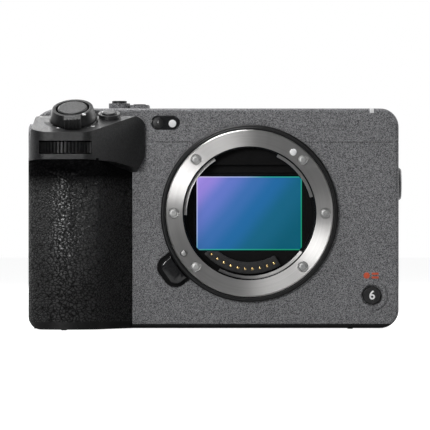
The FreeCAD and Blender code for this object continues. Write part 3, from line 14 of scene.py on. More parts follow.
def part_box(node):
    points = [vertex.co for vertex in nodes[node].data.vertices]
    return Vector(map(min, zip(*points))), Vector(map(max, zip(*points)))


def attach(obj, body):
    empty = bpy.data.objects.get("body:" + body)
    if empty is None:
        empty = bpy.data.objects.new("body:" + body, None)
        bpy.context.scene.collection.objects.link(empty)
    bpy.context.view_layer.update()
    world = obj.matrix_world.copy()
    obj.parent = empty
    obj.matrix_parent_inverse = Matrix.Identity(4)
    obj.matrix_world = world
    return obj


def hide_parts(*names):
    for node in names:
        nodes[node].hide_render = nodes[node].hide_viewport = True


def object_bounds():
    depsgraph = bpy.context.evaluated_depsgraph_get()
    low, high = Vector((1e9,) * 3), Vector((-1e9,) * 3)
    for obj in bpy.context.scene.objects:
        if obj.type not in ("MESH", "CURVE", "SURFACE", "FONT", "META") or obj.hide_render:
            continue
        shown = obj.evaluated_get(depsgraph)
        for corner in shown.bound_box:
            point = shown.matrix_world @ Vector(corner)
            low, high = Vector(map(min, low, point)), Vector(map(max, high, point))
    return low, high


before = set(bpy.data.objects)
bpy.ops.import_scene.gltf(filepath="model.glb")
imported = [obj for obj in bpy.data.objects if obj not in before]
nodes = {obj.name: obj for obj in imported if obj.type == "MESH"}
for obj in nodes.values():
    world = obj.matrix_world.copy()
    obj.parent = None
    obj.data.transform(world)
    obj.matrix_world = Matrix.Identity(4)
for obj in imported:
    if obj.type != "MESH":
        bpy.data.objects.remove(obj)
cad_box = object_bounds()


def mm(*values):
    """Millimetres to metres: one number, or a point."""
    scaled = [value / 1000 for value in values]
    return scaled[0] if len(scaled) == 1 else Vector(scaled)


print(len(nodes), "solids in the frame, box", [[round(c, 4) for c in corner] for corner in cad_box])

# %% [markdown]
# The photograph was taken square on, from far away: the sides of the body show almost no
# perspective. A camera close to the object with a short lens would show the side walls, so a
# long lens is set 1.8 m away. The width that the picture spans at the front plate gives its
# focal length.

# %% Camera
axis_z = 40.4
front_y = -15.5
flange_y = -18.0
view_x = -12.12
view_z = 39.8
view_away = 1800.0
frame_width = 151.2
film_width = 36.0

bpy.ops.object.select_all(action="DESELECT")
bpy.ops.object.camera_add(location=mm(view_x, front_y - view_away, view_z), rotation=(math.pi / 2, 0, 0))
camera = bpy.context.object
camera.data.sensor_width = film_width
camera.data.lens = film_width * view_away / frame_width
camera.data.clip_start = 0.01
bpy.context.scene.camera = camera
print("lens", round(camera.data.lens, 1), "mm")

# %% [markdown]
# The background of the photograph is plain white, and the light is large and soft, strongest
# from the upper left. One way is a white room lit by strong lamps, but that washes out the
# black parts. So the world is white only where the camera, a reflection of the space behind
# the object, or a view through glass sees it, and a quiet grey as light. Three soft lamps
# light the front, one the roof, and two the back and the right side. The floor is white to the
# camera and keeps a faint shadow, and from below it is clear, so that the underside shows.

# %% Lights, world and floor
def soft_lamp(name, place, aim, wide, power):
    """A square lamp that looks at a point."""
    bpy.ops.object.light_add(type="AREA", location=mm(*place))
    lamp = bpy.context.object
    lamp.name = name
    lamp.data.size = mm(wide)
    lamp.data.energy = power
    lamp.rotation_euler = (mm(*aim) - mm(*place)).to_track_quat("-Z", "Y").to_euler()
    return lamp


aim = (-12, 0, 40)
soft_lamp("key_lamp", (-330, -830, 210), aim, 200, 2.5)
soft_lamp("upper_lamp", (-140, -850, 320), aim, 250, 0.7)
soft_lamp("fill_lamp", (900, -1000, 60), aim, 400, 0.9)
soft_lamp("roof_lamp", (-110, -50, 380), aim, 180, 1.3)
soft_lamp("rear_lamp", (-350, 900, 420), aim, 500, 5.0)
soft_lamp("side_lamp", (900, 500, 500), aim, 500, 4.0)

bpy.context.scene.view_settings.view_transform = "Standard"
world = bpy.data.worlds.new("studio")
bpy.context.scene.world = world
world.use_nodes = True
tree = world.node_tree
tree.nodes.clear()


def add(tree, kind, **values):
    """A node with values on its sockets. An underscore in a name stands for a space."""
    node = tree.nodes.new(kind)
    for name, value in values.items():
        node.inputs[name.replace("_", " ")].default_value = value
    return node


def math_node(tree, operation, first, second=None, third=None):
    """A Math node on numbers or sockets. It returns the socket that it puts out."""
    node = tree.nodes.new("ShaderNodeMath")
    node.operation = operation
    for index, value in enumerate((first, second, third)):
        if value is None:
            continue
        if isinstance(value, (int, float)):
            node.inputs[index].default_value = value
        else:
            tree.links.new(value, node.inputs[index])
    return node.outputs[0]


rays = tree.nodes.new("ShaderNodeLightPath")
way = tree.nodes.new("ShaderNodeTexCoord")
split = tree.nodes.new("ShaderNodeSeparateXYZ")
tree.links.new(way.outputs["Generated"], split.inputs[0])
fade_slope = 4.0
behind = math_node(tree, "MULTIPLY_ADD", split.outputs["Y"], fade_slope, 0.5)
behind = math_node(tree, "MINIMUM", math_node(tree, "MAXIMUM", behind, 0.0), 1.0)
glossy = math_node(tree, "MULTIPLY", rays.outputs["Is Glossy Ray"], behind)
seen = math_node(tree, "MAXIMUM", rays.outputs["Is Camera Ray"], rays.outputs["Is Transmission Ray"])
seen = math_node(tree, "MAXIMUM", seen, glossy)
room = add(tree, "ShaderNodeBackground", Color=(0.93, 0.96, 1.0, 1), Strength=0.08)
white = add(tree, "ShaderNodeBackground", Color=(1, 1, 1, 1), Strength=1.0)
blend = tree.nodes.new("ShaderNodeMixShader")
leave = tree.nodes.new("ShaderNodeOutputWorld")
tree.links.new(seen, blend.inputs[0])
tree.links.new(room.outputs[0], blend.inputs[1])
tree.links.new(white.outputs[0], blend.inputs[2])
tree.links.new(blend.outputs[0], leave.inputs[0])

floor_z = cad_box[0][2] * 1000
floor_width = 6000
bpy.ops.mesh.primitive_plane_add(size=mm(floor_width), location=mm(0, 0, floor_z))
floor = bpy.context.object
floor.name = "floor"
floor_finish = bpy.data.materials.new("floor_white")
floor_finish.use_nodes = True
tree = floor_finish.node_tree
tree.nodes.clear()
rays = tree.nodes.new("ShaderNodeLightPath")
split = tree.nodes.new("ShaderNodeSeparateXYZ")
tree.links.new(tree.nodes.new("ShaderNodeNewGeometry").outputs["Position"], split.inputs[0])
beyond = math_node(tree, "GREATER_THAN", split.outputs["Y"], 0)
glossy = math_node(tree, "MULTIPLY", rays.outputs["Is Glossy Ray"], beyond)
seen = math_node(tree, "MAXIMUM", rays.outputs["Is Camera Ray"], glossy)
seen = math_node(tree, "MAXIMUM", seen, rays.outputs["Is Transmission Ray"])
matt = add(tree, "ShaderNodeBsdfDiffuse", Color=(0.5, 0.5, 0.5, 1))
glow = add(tree, "ShaderNodeEmission", Color=(0.92, 0.92, 0.92, 1), Strength=1.0)
both = tree.nodes.new("ShaderNodeAddShader")
blend = tree.nodes.new("ShaderNodeMixShader")
leave = tree.nodes.new("ShaderNodeOutputMaterial")
tree.links.new(matt.outputs[0], both.inputs[0])
tree.links.new(glow.outputs[0], both.inputs[1])
tree.links.new(seen, blend.inputs[0])
tree.links.new(matt.outputs[0], blend.inputs[1])
tree.links.new(both.outputs[0], blend.inputs[2])
clear = tree.nodes.new("ShaderNodeMixShader")
tree.links.new(tree.nodes.new("ShaderNodeNewGeometry").outputs["Backfacing"], clear.inputs[0])
tree.links.new(blend.outputs[0], clear.inputs[1])
tree.links.new(tree.nodes.new("ShaderNodeBsdfTransparent").outputs[0], clear.inputs[2])
tree.links.new(clear.outputs[0], leave.inputs[0])
floor.data.materials.append(floor_finish)
print("floor at", round(floor_z, 2), "mm")

# %% [markdown]
# The solids arrive as loose triangles with sharp edges. On a real camera no edge is perfectly
# sharp, and the thin bright line along each edge is what makes a small part look moulded.
# Edges could be rounded in the solids, but that costs thousands of faces. Modifiers do
# it here: they weld the triangles, join flat ones and cut them anew with fewer slivers,
# round each edge a little, and keep the shading of the large faces flat up to their edges.

# %% Soft edges on the solids
weld_reach = 0.002
flat_angle = 0.7
usual_edge = 0.15


def soften_edges(node, width, parts=2, angle=32, smooth=True, even=False, held=False):
    """Weld a solid's triangles and round its edges by a width in millimetres."""
    for face in node.data.polygons:
        face.use_smooth = smooth
    weld = node.modifiers.new("weld", "WELD")
    weld.merge_threshold = mm(weld_reach)
    flat = node.modifiers.new("flat_faces", "DECIMATE")
    flat.decimate_type = "DISSOLVE"
    flat.angle_limit = math.radians(flat_angle)
    node.modifiers.new("corners", "TRIANGULATE")
    edge = node.modifiers.new("soft_edges", "BEVEL")
    edge.width = mm(width)
    edge.segments = parts
    edge.limit_method = "ANGLE"
    edge.angle_limit = math.radians(angle)
    edge.use_clamp_overlap = held
    edge.loop_slide = not even
    if smooth:
        shading = node.modifiers.new("face_shading", "WEIGHTED_NORMAL")
        shading.weight = 100


# Edges with a width of their own. All others have the usual one.
own_edges = {
    "front_cover": 0.12, "top_cover": 0.12, "mount_ring": 0.08, "mount_skirt": 0.3, "grip_head_cap": 0.5,
    "grip_frame": 0.2, "zoom_lever": 0.1, "monitor_housing": 0.3, "thumb_rest": 0.3,
    "lens_release_button": 0.2, "front_record_button": 0.12, "front_dial": 0.12, "control_wheel": 0.12,
    "rear_dial": 0.12, "power_switch": 0.3, "joystick": 0.12, "contact_block": 0.12,
}
# A bevel that slides along its neighbours leaves wedges on these, so here it doesn't.
even_edges = ("mount_ring", "lens_release_button", "lens_lock_pin")
# Short edges meet on these, so the width is held back where two roundings would cross.
held_edges = (
    "base_plate", "grip_rubber", "thumb_rest", "rear_cover", "grip_frame", "grip_head_cap", "power_switch",
    "battery_door", "card_door", "port_door_upper", "port_door_lower", "top_cover",
)
for name, node in nodes.items():
    soften_edges(node, own_edges.get(name, usual_edge), smooth=name != "mount_ring", even=name in even_edges,
                 held=name in held_edges)
print("edges softened on", len(nodes), "solids")

# %% [markdown]
# Most of the body is painted metal with a fine speckle, the grip is moulded like leather,
# and the small parts are plastic with a faint grain. Pictures could be wrapped round the
# parts, but a pattern made of noise in the object's own space has the same scale everywhere
# and needs no unwrapping. Each pattern that several finishes share is a node group.

# %% Shared patterns
def pattern_group(name, inputs, outputs):
    """An empty node group with named inputs (name, kind, value) and outputs (name, kind)."""
    group = bpy.data.node_groups.new(name, "ShaderNodeTree")
    for label, kind, value in inputs:
        socket = group.interface.new_socket(label, in_out="INPUT", socket_type=kind)
        socket.default_value = value
    for label, kind in outputs:
        group.interface.new_socket(label, in_out="OUTPUT", socket_type=kind)
    return group, group.nodes.new("NodeGroupInput"), group.nodes.new("NodeGroupOutput")


number = "NodeSocketFloat"
colour = "NodeSocketColor"


def noise_at(tree, place, size, detail=2.0, rough=0.5):
    """A Noise node on a place, with its scale from a socket or a number."""
    noise = add(tree, "ShaderNodeTexNoise", Detail=detail, Roughness=rough)
    tree.links.new(place, noise.inputs["Vector"])
    if isinstance(size, (int, float)):
        noise.inputs["Scale"].default_value = size
    else:
        tree.links.new(size, noise.inputs["Scale"])
    return noise.outputs["Fac"]


def mix_colours(tree, share, first, second):
    """Two colours mixed by a share. A colour is a socket or a tuple."""
    mix = tree.nodes.new("ShaderNodeMix")
    mix.data_type = "RGBA"
    tree.links.new(share, mix.inputs["Factor"])
    for index, value in ((6, first), (7, second)):
        if isinstance(value, tuple):
            mix.inputs[index].default_value = value
        else:
            tree.links.new(value, mix.inputs[index])
    return mix.outputs[2]


def own_space(tree):
    """A surface point's place in the common frame, and the sockets of its X, Y and Z."""
    place = tree.nodes.new("ShaderNodeTexCoord").outputs["Object"]
    parts = tree.nodes.new("ShaderNodeSeparateXYZ")
    tree.links.new(place, parts.inputs[0])
    return place, parts.outputs


def make_speckle():
    """Fine light and dark grains of a paint, as a colour and a height."""
    group, entry, leave = pattern_group(
        "speckle",
        [("Grains", number, 1500.0), ("Dark", colour, (0, 0, 0, 1)), ("Light", colour, (1, 1, 1, 1)),
         ("Spread", number, 2.0)],
        [("Colour", colour), ("Height", number)])
    place = group.nodes.new("ShaderNodeTexCoord").outputs["Object"]
    coarse = noise_at(group, place, math_node(group, "MULTIPLY", entry.outputs["Grains"], 1.6), 2.0, 0.6)
    grains = group.nodes.new("ShaderNodeTexVoronoi")
    group.links.new(place, grains.inputs["Vector"])
    group.links.new(entry.outputs["Grains"], grains.inputs["Scale"])
    tone = group.nodes.new("ShaderNodeSeparateColor")
    group.links.new(grains.outputs["Color"], tone.inputs[0])
    mixed = math_node(group, "MULTIPLY_ADD", tone.outputs[0], 0.5, math_node(group, "MULTIPLY", coarse, 0.5))
    centred = math_node(group, "SUBTRACT", mixed, 0.5)
    spread = math_node(group, "MULTIPLY_ADD", centred, entry.outputs["Spread"], 0.5)
    cloud = noise_at(group, place, 60.0, 1.0)
    cloud = math_node(group, "MULTIPLY_ADD", cloud, 0.16, -0.08)
    share = math_node(group, "ADD", spread, cloud)
    mixed_colour = mix_colours(group, share, entry.outputs["Dark"], entry.outputs["Light"])
    group.links.new(mixed_colour, leave.inputs["Colour"])
    group.links.new(coarse, leave.inputs["Height"])
    return group


def make_leather():
    """Pebbles with creases between them: a height, and a mask of the creases."""
    group, entry, leave = pattern_group(
        "leather", [("Pebbles", number, 900.0), ("Stretch", number, 0.65)],
        [("Height", number), ("Crease", number)])
    place = group.nodes.new("ShaderNodeTexCoord").outputs["Object"]
    squeeze = group.nodes.new("ShaderNodeCombineXYZ")
    squeeze.inputs[0].default_value = 1.0
    squeeze.inputs[1].default_value = 1.0
    group.links.new(entry.outputs["Stretch"], squeeze.inputs[2])
    scaled = group.nodes.new("ShaderNodeVectorMath")
    scaled.operation = "MULTIPLY"
    group.links.new(place, scaled.inputs[0])
    group.links.new(squeeze.outputs[0], scaled.inputs[1])
    shift = add(group, "ShaderNodeTexNoise", Scale=500.0, Detail=2.0)
    group.links.new(scaled.outputs[0], shift.inputs["Vector"])
    moved = add(group, "ShaderNodeVectorMath")
    moved.operation = "MULTIPLY_ADD"
    moved.inputs[1].default_value = mm(1.6, 1.6, 1.6)
    group.links.new(shift.outputs["Color"], moved.inputs[0])
    group.links.new(scaled.outputs[0], moved.inputs[2])
    cells = group.nodes.new("ShaderNodeTexVoronoi")
    cells.feature = "DISTANCE_TO_EDGE"
    group.links.new(moved.outputs[0], cells.inputs["Vector"])
    group.links.new(entry.outputs["Pebbles"], cells.inputs["Scale"])
    steep = 3.2
    rise = math_node(group, "MINIMUM", math_node(group, "MULTIPLY", cells.outputs["Distance"], steep), 1.0)
    rise = math_node(group, "MULTIPLY", rise, math_node(group, "SUBTRACT", 2.0, rise))
    crease = math_node(group, "SUBTRACT", 1.0, rise)
    fine = noise_at(group, place, 3500.0, 2.0)
    height = math_node(group, "MULTIPLY_ADD", fine, 0.06, rise)
    height = math_node(group, "MULTIPLY_ADD", noise_at(group, place, 420.0, 1.0), 1.6, height)
    group.links.new(height, leave.inputs["Height"])
    group.links.new(crease, leave.inputs["Crease"])
    return group


def make_turned():
    """Fine rings left by turning round the lens axis: a height, a tint and the distance to the axis in mm."""
    group, entry, leave = pattern_group(
        "turned", [("Lines", number, 9000.0)], [("Height", number), ("Tint", number), ("Reach", number)])
    place, parts = own_space(group)
    up = math_node(group, "SUBTRACT", parts["Z"], mm(axis_z))
    square_x = math_node(group, "MULTIPLY", parts["X"], parts["X"])
    square_up = math_node(group, "MULTIPLY", up, up)
    reach = math_node(group, "SQRT", math_node(group, "ADD", square_x, square_up))
    # The pattern hardly changes round the axis, so the lines run almost the whole way round.
    change_round = 0.012
    line = group.nodes.new("ShaderNodeCombineXYZ")
    group.links.new(reach, line.inputs[0])
    group.links.new(math_node(group, "MULTIPLY", parts["X"], change_round), line.inputs[1])
    group.links.new(math_node(group, "MULTIPLY", up, change_round), line.inputs[2])
    lines = noise_at(group, line.outputs[0], entry.outputs["Lines"], 3.0, 0.6)
    wide = noise_at(group, line.outputs[0], 1400.0, 1.0)
    group.links.new(math_node(group, "MULTIPLY", reach, 1000.0), leave.inputs["Reach"])
    group.links.new(lines, leave.inputs["Height"])
    group.links.new(math_node(group, "MULTIPLY_ADD", wide, 0.5, math_node(group, "MULTIPLY", lines, 0.5)),
                    leave.inputs["Tint"])
    return group


speckle = make_speckle()
leather = make_leather()
turned = make_turned()
print("patterns:", [group.name for group in (speckle, leather, turned)])

# %% [markdown]
# Each finish is one material. Its colour is close to what the photograph shows, a little
# varied by the pattern, and its shine comes from the shader. The patterns also feed a Bump
# node, so that the grain catches the light as the real one does.

# %% Helpers for finishes
sheen_swing = 0.08


def new_finish(name, roughness, metallic=0.0, **sockets):
    """A material with its shader, ready for patterns."""
    finish = bpy.data.materials.new(name)
    finish.use_nodes = True
    shader = finish.node_tree.nodes["Principled BSDF"]
    shader.inputs["Roughness"].default_value = roughness
    shader.inputs["Metallic"].default_value = metallic
    for socket, value in sockets.items():
        shader.inputs[socket.replace("_", " ")].default_value = value
    return finish, finish.node_tree, shader


def use_pattern(tree, group, **values):
    """Place a shared pattern in a material with its own values."""
    node = tree.nodes.new("ShaderNodeGroup")
    node.node_tree = group
    for name, value in values.items():
        node.inputs[name].default_value = value
    return node


def bump(tree, shader, height, depth):
    """Let a height catch the light. The depth is in millimetres."""
    node = add(tree, "ShaderNodeBump", Strength=1.0, Distance=mm(depth))
    tree.links.new(height, node.inputs["Height"])
    tree.links.new(node.outputs[0], shader.inputs["Normal"])


def shine_from(tree, shader, value, low, high):
    """Let a pattern vary the roughness between two values."""
    span = add(tree, "ShaderNodeMapRange", To_Min=low, To_Max=high)
    tree.links.new(value, span.inputs["Value"])
    tree.links.new(span.outputs[0], shader.inputs["Roughness"])


def grained_finish(name, dark, light, grains, spread, depth, rough, **sockets):
    """A paint or plastic with a fine speckle."""
    finish, tree, shader = new_finish(name, rough, **sockets)
    grain = use_pattern(tree, speckle, Grains=grains, Dark=(*dark, 1), Light=(*light, 1), Spread=spread)
    tree.links.new(grain.outputs["Colour"], shader.inputs["Base Color"])
    bump(tree, shader, grain.outputs["Height"], depth)
    shine_from(tree, shader, grain.outputs["Height"], rough - sheen_swing, rough + sheen_swing)
    return finish


print("finish helpers ready")

# %% [markdown]
# The covers of the real camera have a rough grey paint, the grip is rubber moulded like
# leather, and most controls are black plastic. A picture of each could be laid on, but two
# colours, a grain size and a shine say the same and fit every piece, however it is shaped.

# %% Paint, plastics and rubber
body_paint = grained_finish("body_paint", (0.03, 0.03, 0.033), (0.245, 0.245, 0.253),
                            grains=5600.0, spread=7.0, depth=0.04, rough=0.5)
black_paint = grained_finish("black_paint", (0.0015, 0.0015, 0.0017), (0.006, 0.006, 0.0064),
                             grains=1800.0, spread=2.0, depth=0.03, rough=0.5, Specular_IOR_Level=0.22)
black_plastic = grained_finish("black_plastic", (0.004, 0.004, 0.0044), (0.013, 0.013, 0.0136),
                               grains=2000.0, spread=2.0, depth=0.035, rough=0.38, Specular_IOR_Level=0.35)
head_plastic = grained_finish("head_plastic", (0.002, 0.002, 0.0023), (0.013, 0.013, 0.0137),
                              grains=2400.0, spread=3.0, depth=0.09, rough=0.36, Specular_IOR_Level=0.45)
soft_rubber = grained_finish("soft_rubber", (0.008, 0.008, 0.0083), (0.016, 0.016, 0.0165),
                             grains=900.0, spread=1.6, depth=0.02, rough=0.62, Specular_IOR_Level=0.3)
inner_black = grained_finish("inner_black", (0.0006, 0.0006, 0.0007), (0.0025, 0.0025, 0.0028),
                             grains=1500.0, spread=2.0, depth=0.02, rough=0.6, Specular_IOR_Level=0.12)
board_green = grained_finish("board_green", (0.012, 0.07, 0.03), (0.03, 0.15, 0.06),
                             grains=500.0, spread=3.0, depth=0.02, rough=0.45)


def grip_leather():
    """Moulded leather on the grip, with a dotted line along its inner edge."""
    finish, tree, shader = new_finish("grip_leather", 0.4, Specular_IOR_Level=0.5)
    grain = use_pattern(tree, leather, Pebbles=740.0, Stretch=1.45)
    # Painted shade: the creases are coloured darker than the pebble tops, as if shade falls in them.
    pebble = (0.0045, 0.0045, 0.0048, 1)
    crease = (0.0003, 0.0003, 0.0004, 1)
    tree.links.new(mix_colours(tree, grain.outputs["Crease"], pebble, crease), shader.inputs["Base Color"])
    place, parts = own_space(tree)
    # Dotted line, in millimetres
    line_x = -42.3
    line_half = 0.22
    dot_pitch = 0.9
    off = math_node(tree, "ABSOLUTE", math_node(tree, "ADD", parts["X"], mm(-line_x)))
    near = math_node(tree, "LESS_THAN", off, mm(line_half))
    step = math_node(tree, "SINE", math_node(tree, "MULTIPLY", parts["Z"], 2 * math.pi / mm(dot_pitch)))
    dots = math_node(tree, "MULTIPLY", near, math_node(tree, "GREATER_THAN", step, 0.0))
    height = math_node(tree, "MULTIPLY_ADD", dots, 1.2, grain.outputs["Height"])
    # The grain gets flatter towards the hollow for the middle finger.
    hollow = add(tree, "ShaderNodeMapRange", From_Min=mm(48.0), From_Max=mm(56.0), To_Min=1.0, To_Max=0.25)
    tree.links.new(parts["Z"], hollow.inputs["Value"])
    bump(tree, shader, math_node(tree, "MULTIPLY", height, hollow.outputs[0]), 0.26)
    # Where fingers have polished it: an oval with an uneven edge, in millimetres
    worn_x, worn_z = -61.0, 43.0
    worn_wide, worn_high = 13.0, 24.0
    aside = math_node(tree, "MULTIPLY_ADD", parts["X"], 1 / mm(worn_wide), -worn_x / worn_wide)
    above = math_node(tree, "MULTIPLY_ADD", parts["Z"], 1 / mm(worn_high), -worn_z / worn_high)
    square_aside = math_node(tree, "MULTIPLY", aside, aside)
    square_above = math_node(tree, "MULTIPLY", above, above)
    oval = math_node(tree, "ADD", square_aside, square_above)
    uneven = noise_at(tree, place, 90.0, 2.0)
    reach = math_node(tree, "MULTIPLY_ADD", uneven, 0.5, math_node(tree, "ADD", oval, -0.25))
    worn = add(tree, "ShaderNodeMapRange", From_Min=0.0, From_Max=1.4, To_Min=0.22, To_Max=0.6)
    tree.links.new(reach, worn.inputs["Value"])
    gloss = add(tree, "ShaderNodeMapRange", From_Min=0.0, From_Max=1.6, To_Min=1.0, To_Max=0.6)
    tree.links.new(reach, gloss.inputs["Value"])
    # Painted shade: the shine fades out towards the hollow under the head, so that it looks shaded.
    shade = add(tree, "ShaderNodeMapRange", From_Min=mm(47.5), From_Max=mm(53.5), To_Min=1.0, To_Max=0.03)
    tree.links.new(parts["Z"], shade.inputs["Value"])
    # Painted shade: the shine is turned down in the creases, so that they look shaded.
    shine_shaded_in_creases = math_node(tree, "MULTIPLY_ADD", grain.outputs["Crease"], -0.85, 1.0)
    gloss = math_node(tree, "MULTIPLY", math_node(tree, "MULTIPLY", gloss.outputs[0], shade.outputs[0]), shine_shaded_in_creases)
    tree.links.new(gloss, shader.inputs["Specular IOR Level"])
    rough = math_node(tree, "MULTIPLY_ADD", grain.outputs["Crease"], 0.25, worn.outputs[0])
    tree.links.new(rough, shader.inputs["Roughness"])
    return finish


leather_rubber = grip_leather()
print("paint, plastics and leather made, the last:", leather_rubber.name)

# %% [markdown]
# The mount's ring is turned steel, the contact pins are gold plated, and the windows are
# polished. On the real ring a glint runs out from the axis. Painted on, it would stand still,
# so the shader gets the direction out from the axis, across the turned lines, and the lamps
# make the glint.

# %% Metals, glass and markings
def turned_steel():
    """Bright steel turned on a lathe: fine rings, and a glint that runs out from the axis."""
    finish, tree, shader = new_finish("turned_steel", 0.35, 1.0, Anisotropic=1.0)
    rings = use_pattern(tree, turned, Lines=8000.0)
    steel = mix_colours(tree, rings.outputs["Tint"], (0.36, 0.355, 0.35, 1), (0.62, 0.61, 0.60, 1))
    # Painted shade: the bevel at the throat is coloured dark, as if in shadow. It lies between these two
    # radii.
    bevel_inner, bevel_outer = 23.03, 23.52
    inside = math_node(tree, "LESS_THAN", rings.outputs["Reach"], bevel_outer)
    outside = math_node(tree, "GREATER_THAN", rings.outputs["Reach"], bevel_inner)
    bevel_painted_shade = math_node(tree, "MULTIPLY", inside, outside)
    tree.links.new(mix_colours(tree, bevel_painted_shade, steel, (0.02, 0.02, 0.02, 1)), shader.inputs["Base Color"])
    bump(tree, shader, rings.outputs["Height"], 0.004)
    place = tree.nodes.new("ShaderNodeTexCoord").outputs["Object"]
    from_axis = add(tree, "ShaderNodeVectorMath")
    from_axis.operation = "SUBTRACT"
    from_axis.inputs[1].default_value = mm(0, flange_y, axis_z)
    tree.links.new(place, from_axis.inputs[0])
    even = add(tree, "ShaderNodeVectorMath")
    even.operation = "NORMALIZE"
    tree.links.new(from_axis.outputs[0], even.inputs[0])
    tree.links.new(even.outputs[0], shader.inputs["Tangent"])
    return finish


def fine_metal(name, dark, light, rough):
    """Plain metal with a little unevenness in its colour and shine."""
    finish, tree, shader = new_finish(name, rough, 1.0)
    grain = use_pattern(tree, speckle, Grains=900.0, Dark=(*dark, 1), Light=(*light, 1), Spread=1.5)
    tree.links.new(grain.outputs["Colour"], shader.inputs["Base Color"])
    bump(tree, shader, grain.outputs["Height"], 0.01)
    shine_from(tree, shader, grain.outputs["Height"], rough - 0.06, rough + 0.06)
    return finish


def coated_glass(name, dark, light, rough):
    """Dark polished cover with a clear coat."""
    finish, tree, shader = new_finish(name, rough, Coat_Weight=1.0, Coat_Roughness=0.03)
    grain = use_pattern(tree, speckle, Grains=120.0, Dark=(*dark, 1), Light=(*light, 1), Spread=1.0)
    tree.links.new(grain.outputs["Colour"], shader.inputs["Base Color"])
    bump(tree, shader, grain.outputs["Height"], 0.002)
    return finish


def groove_black():
    """Black ring with thin turned grooves."""
    finish, tree, shader = new_finish("groove_black", 0.35, Specular_IOR_Level=0.3)
    rings = use_pattern(tree, turned, Lines=2600.0)
    black = mix_colours(tree, rings.outputs["Tint"], (0.002, 0.002, 0.0022, 1), (0.012, 0.012, 0.0125, 1))
    tree.links.new(black, shader.inputs["Base Color"])
    groove_radii = (30.0, 30.7)
    groove_wide = 0.22
    steps = rings.outputs["Height"]
    for radius in groove_radii:
        step = add(tree, "ShaderNodeMapRange", From_Min=radius, From_Max=radius + groove_wide,
                   To_Min=0.0, To_Max=-8.0)
        tree.links.new(rings.outputs["Reach"], step.inputs["Value"])
        steps = math_node(tree, "ADD", steps, step.outputs[0])
    bump(tree, shader, steps, 0.03)
    return finish


def marking(name, dark, light):
    """Printed mark: an even colour with the faint grain of ink."""
    return grained_finish(name, dark, light, 2600.0, 1.2, 0.01, 0.5)


ring_steel = turned_steel()
plain_steel = fine_metal("plain_steel", (0.26, 0.26, 0.26), (0.42, 0.42, 0.41), 0.42)
dark_steel = fine_metal("dark_steel", (0.12, 0.12, 0.125), (0.24, 0.24, 0.245), 0.34)
shaped_aluminium = fine_metal("shaped_aluminium", (0.5, 0.5, 0.51), (0.66, 0.66, 0.67), 0.4)
contact_gold = fine_metal("contact_gold", (0.72, 0.50, 0.20), (0.95, 0.74, 0.38), 0.2)
window_black = coated_glass("window_black", (0.004, 0.004, 0.0045), (0.012, 0.012, 0.013), 0.12)
screen_black = coated_glass("screen_black", (0.003, 0.003, 0.0035), (0.008, 0.008, 0.009), 0.08)
skirt_black = groove_black()
white_mark = marking("white_mark", (0.72, 0.72, 0.72), (0.86, 0.86, 0.86))
orange_mark = marking("orange_mark", (0.42, 0.045, 0.012), (0.62, 0.085, 0.02))
print("finishes:", len(bpy.data.materials))

# %% [markdown]
# The sensor's cover glass shows the coating's colours, lilac at the upper left over blue to
# teal at the right and the bottom, with thin bright lines along its bevelled edge. The colours
# come from the coating, but here they are a painted reflection laid out over the glass in its
# own space, the lines are painted highlights, and the glass glows with both.

# %% Sensor glass
def ramp(tree, value, stops):
    """A colour ramp on a value, from stops of (place, colour)."""
    node = tree.nodes.new("ShaderNodeValToRGB")
    node.color_ramp.interpolation = "EASE"
    while len(node.color_ramp.elements) < len(stops):
        node.color_ramp.elements.new(0.5)
    for element, (place, shade) in zip(node.color_ramp.elements, stops):
        element.position = place
        element.color = (*shade, 1)
    tree.links.new(value, node.inputs[0])
    return node.outputs[0]


def from_side(tree, across, size):
    """Distance in mm to the nearer of two opposite sides, for a share of the way across."""
    off_middle = math_node(tree, "ABSOLUTE", math_node(tree, "SUBTRACT", across, 0.5))
    return math_node(tree, "MULTIPLY", math_node(tree, "SUBTRACT", 0.5, off_middle), size * 1000)


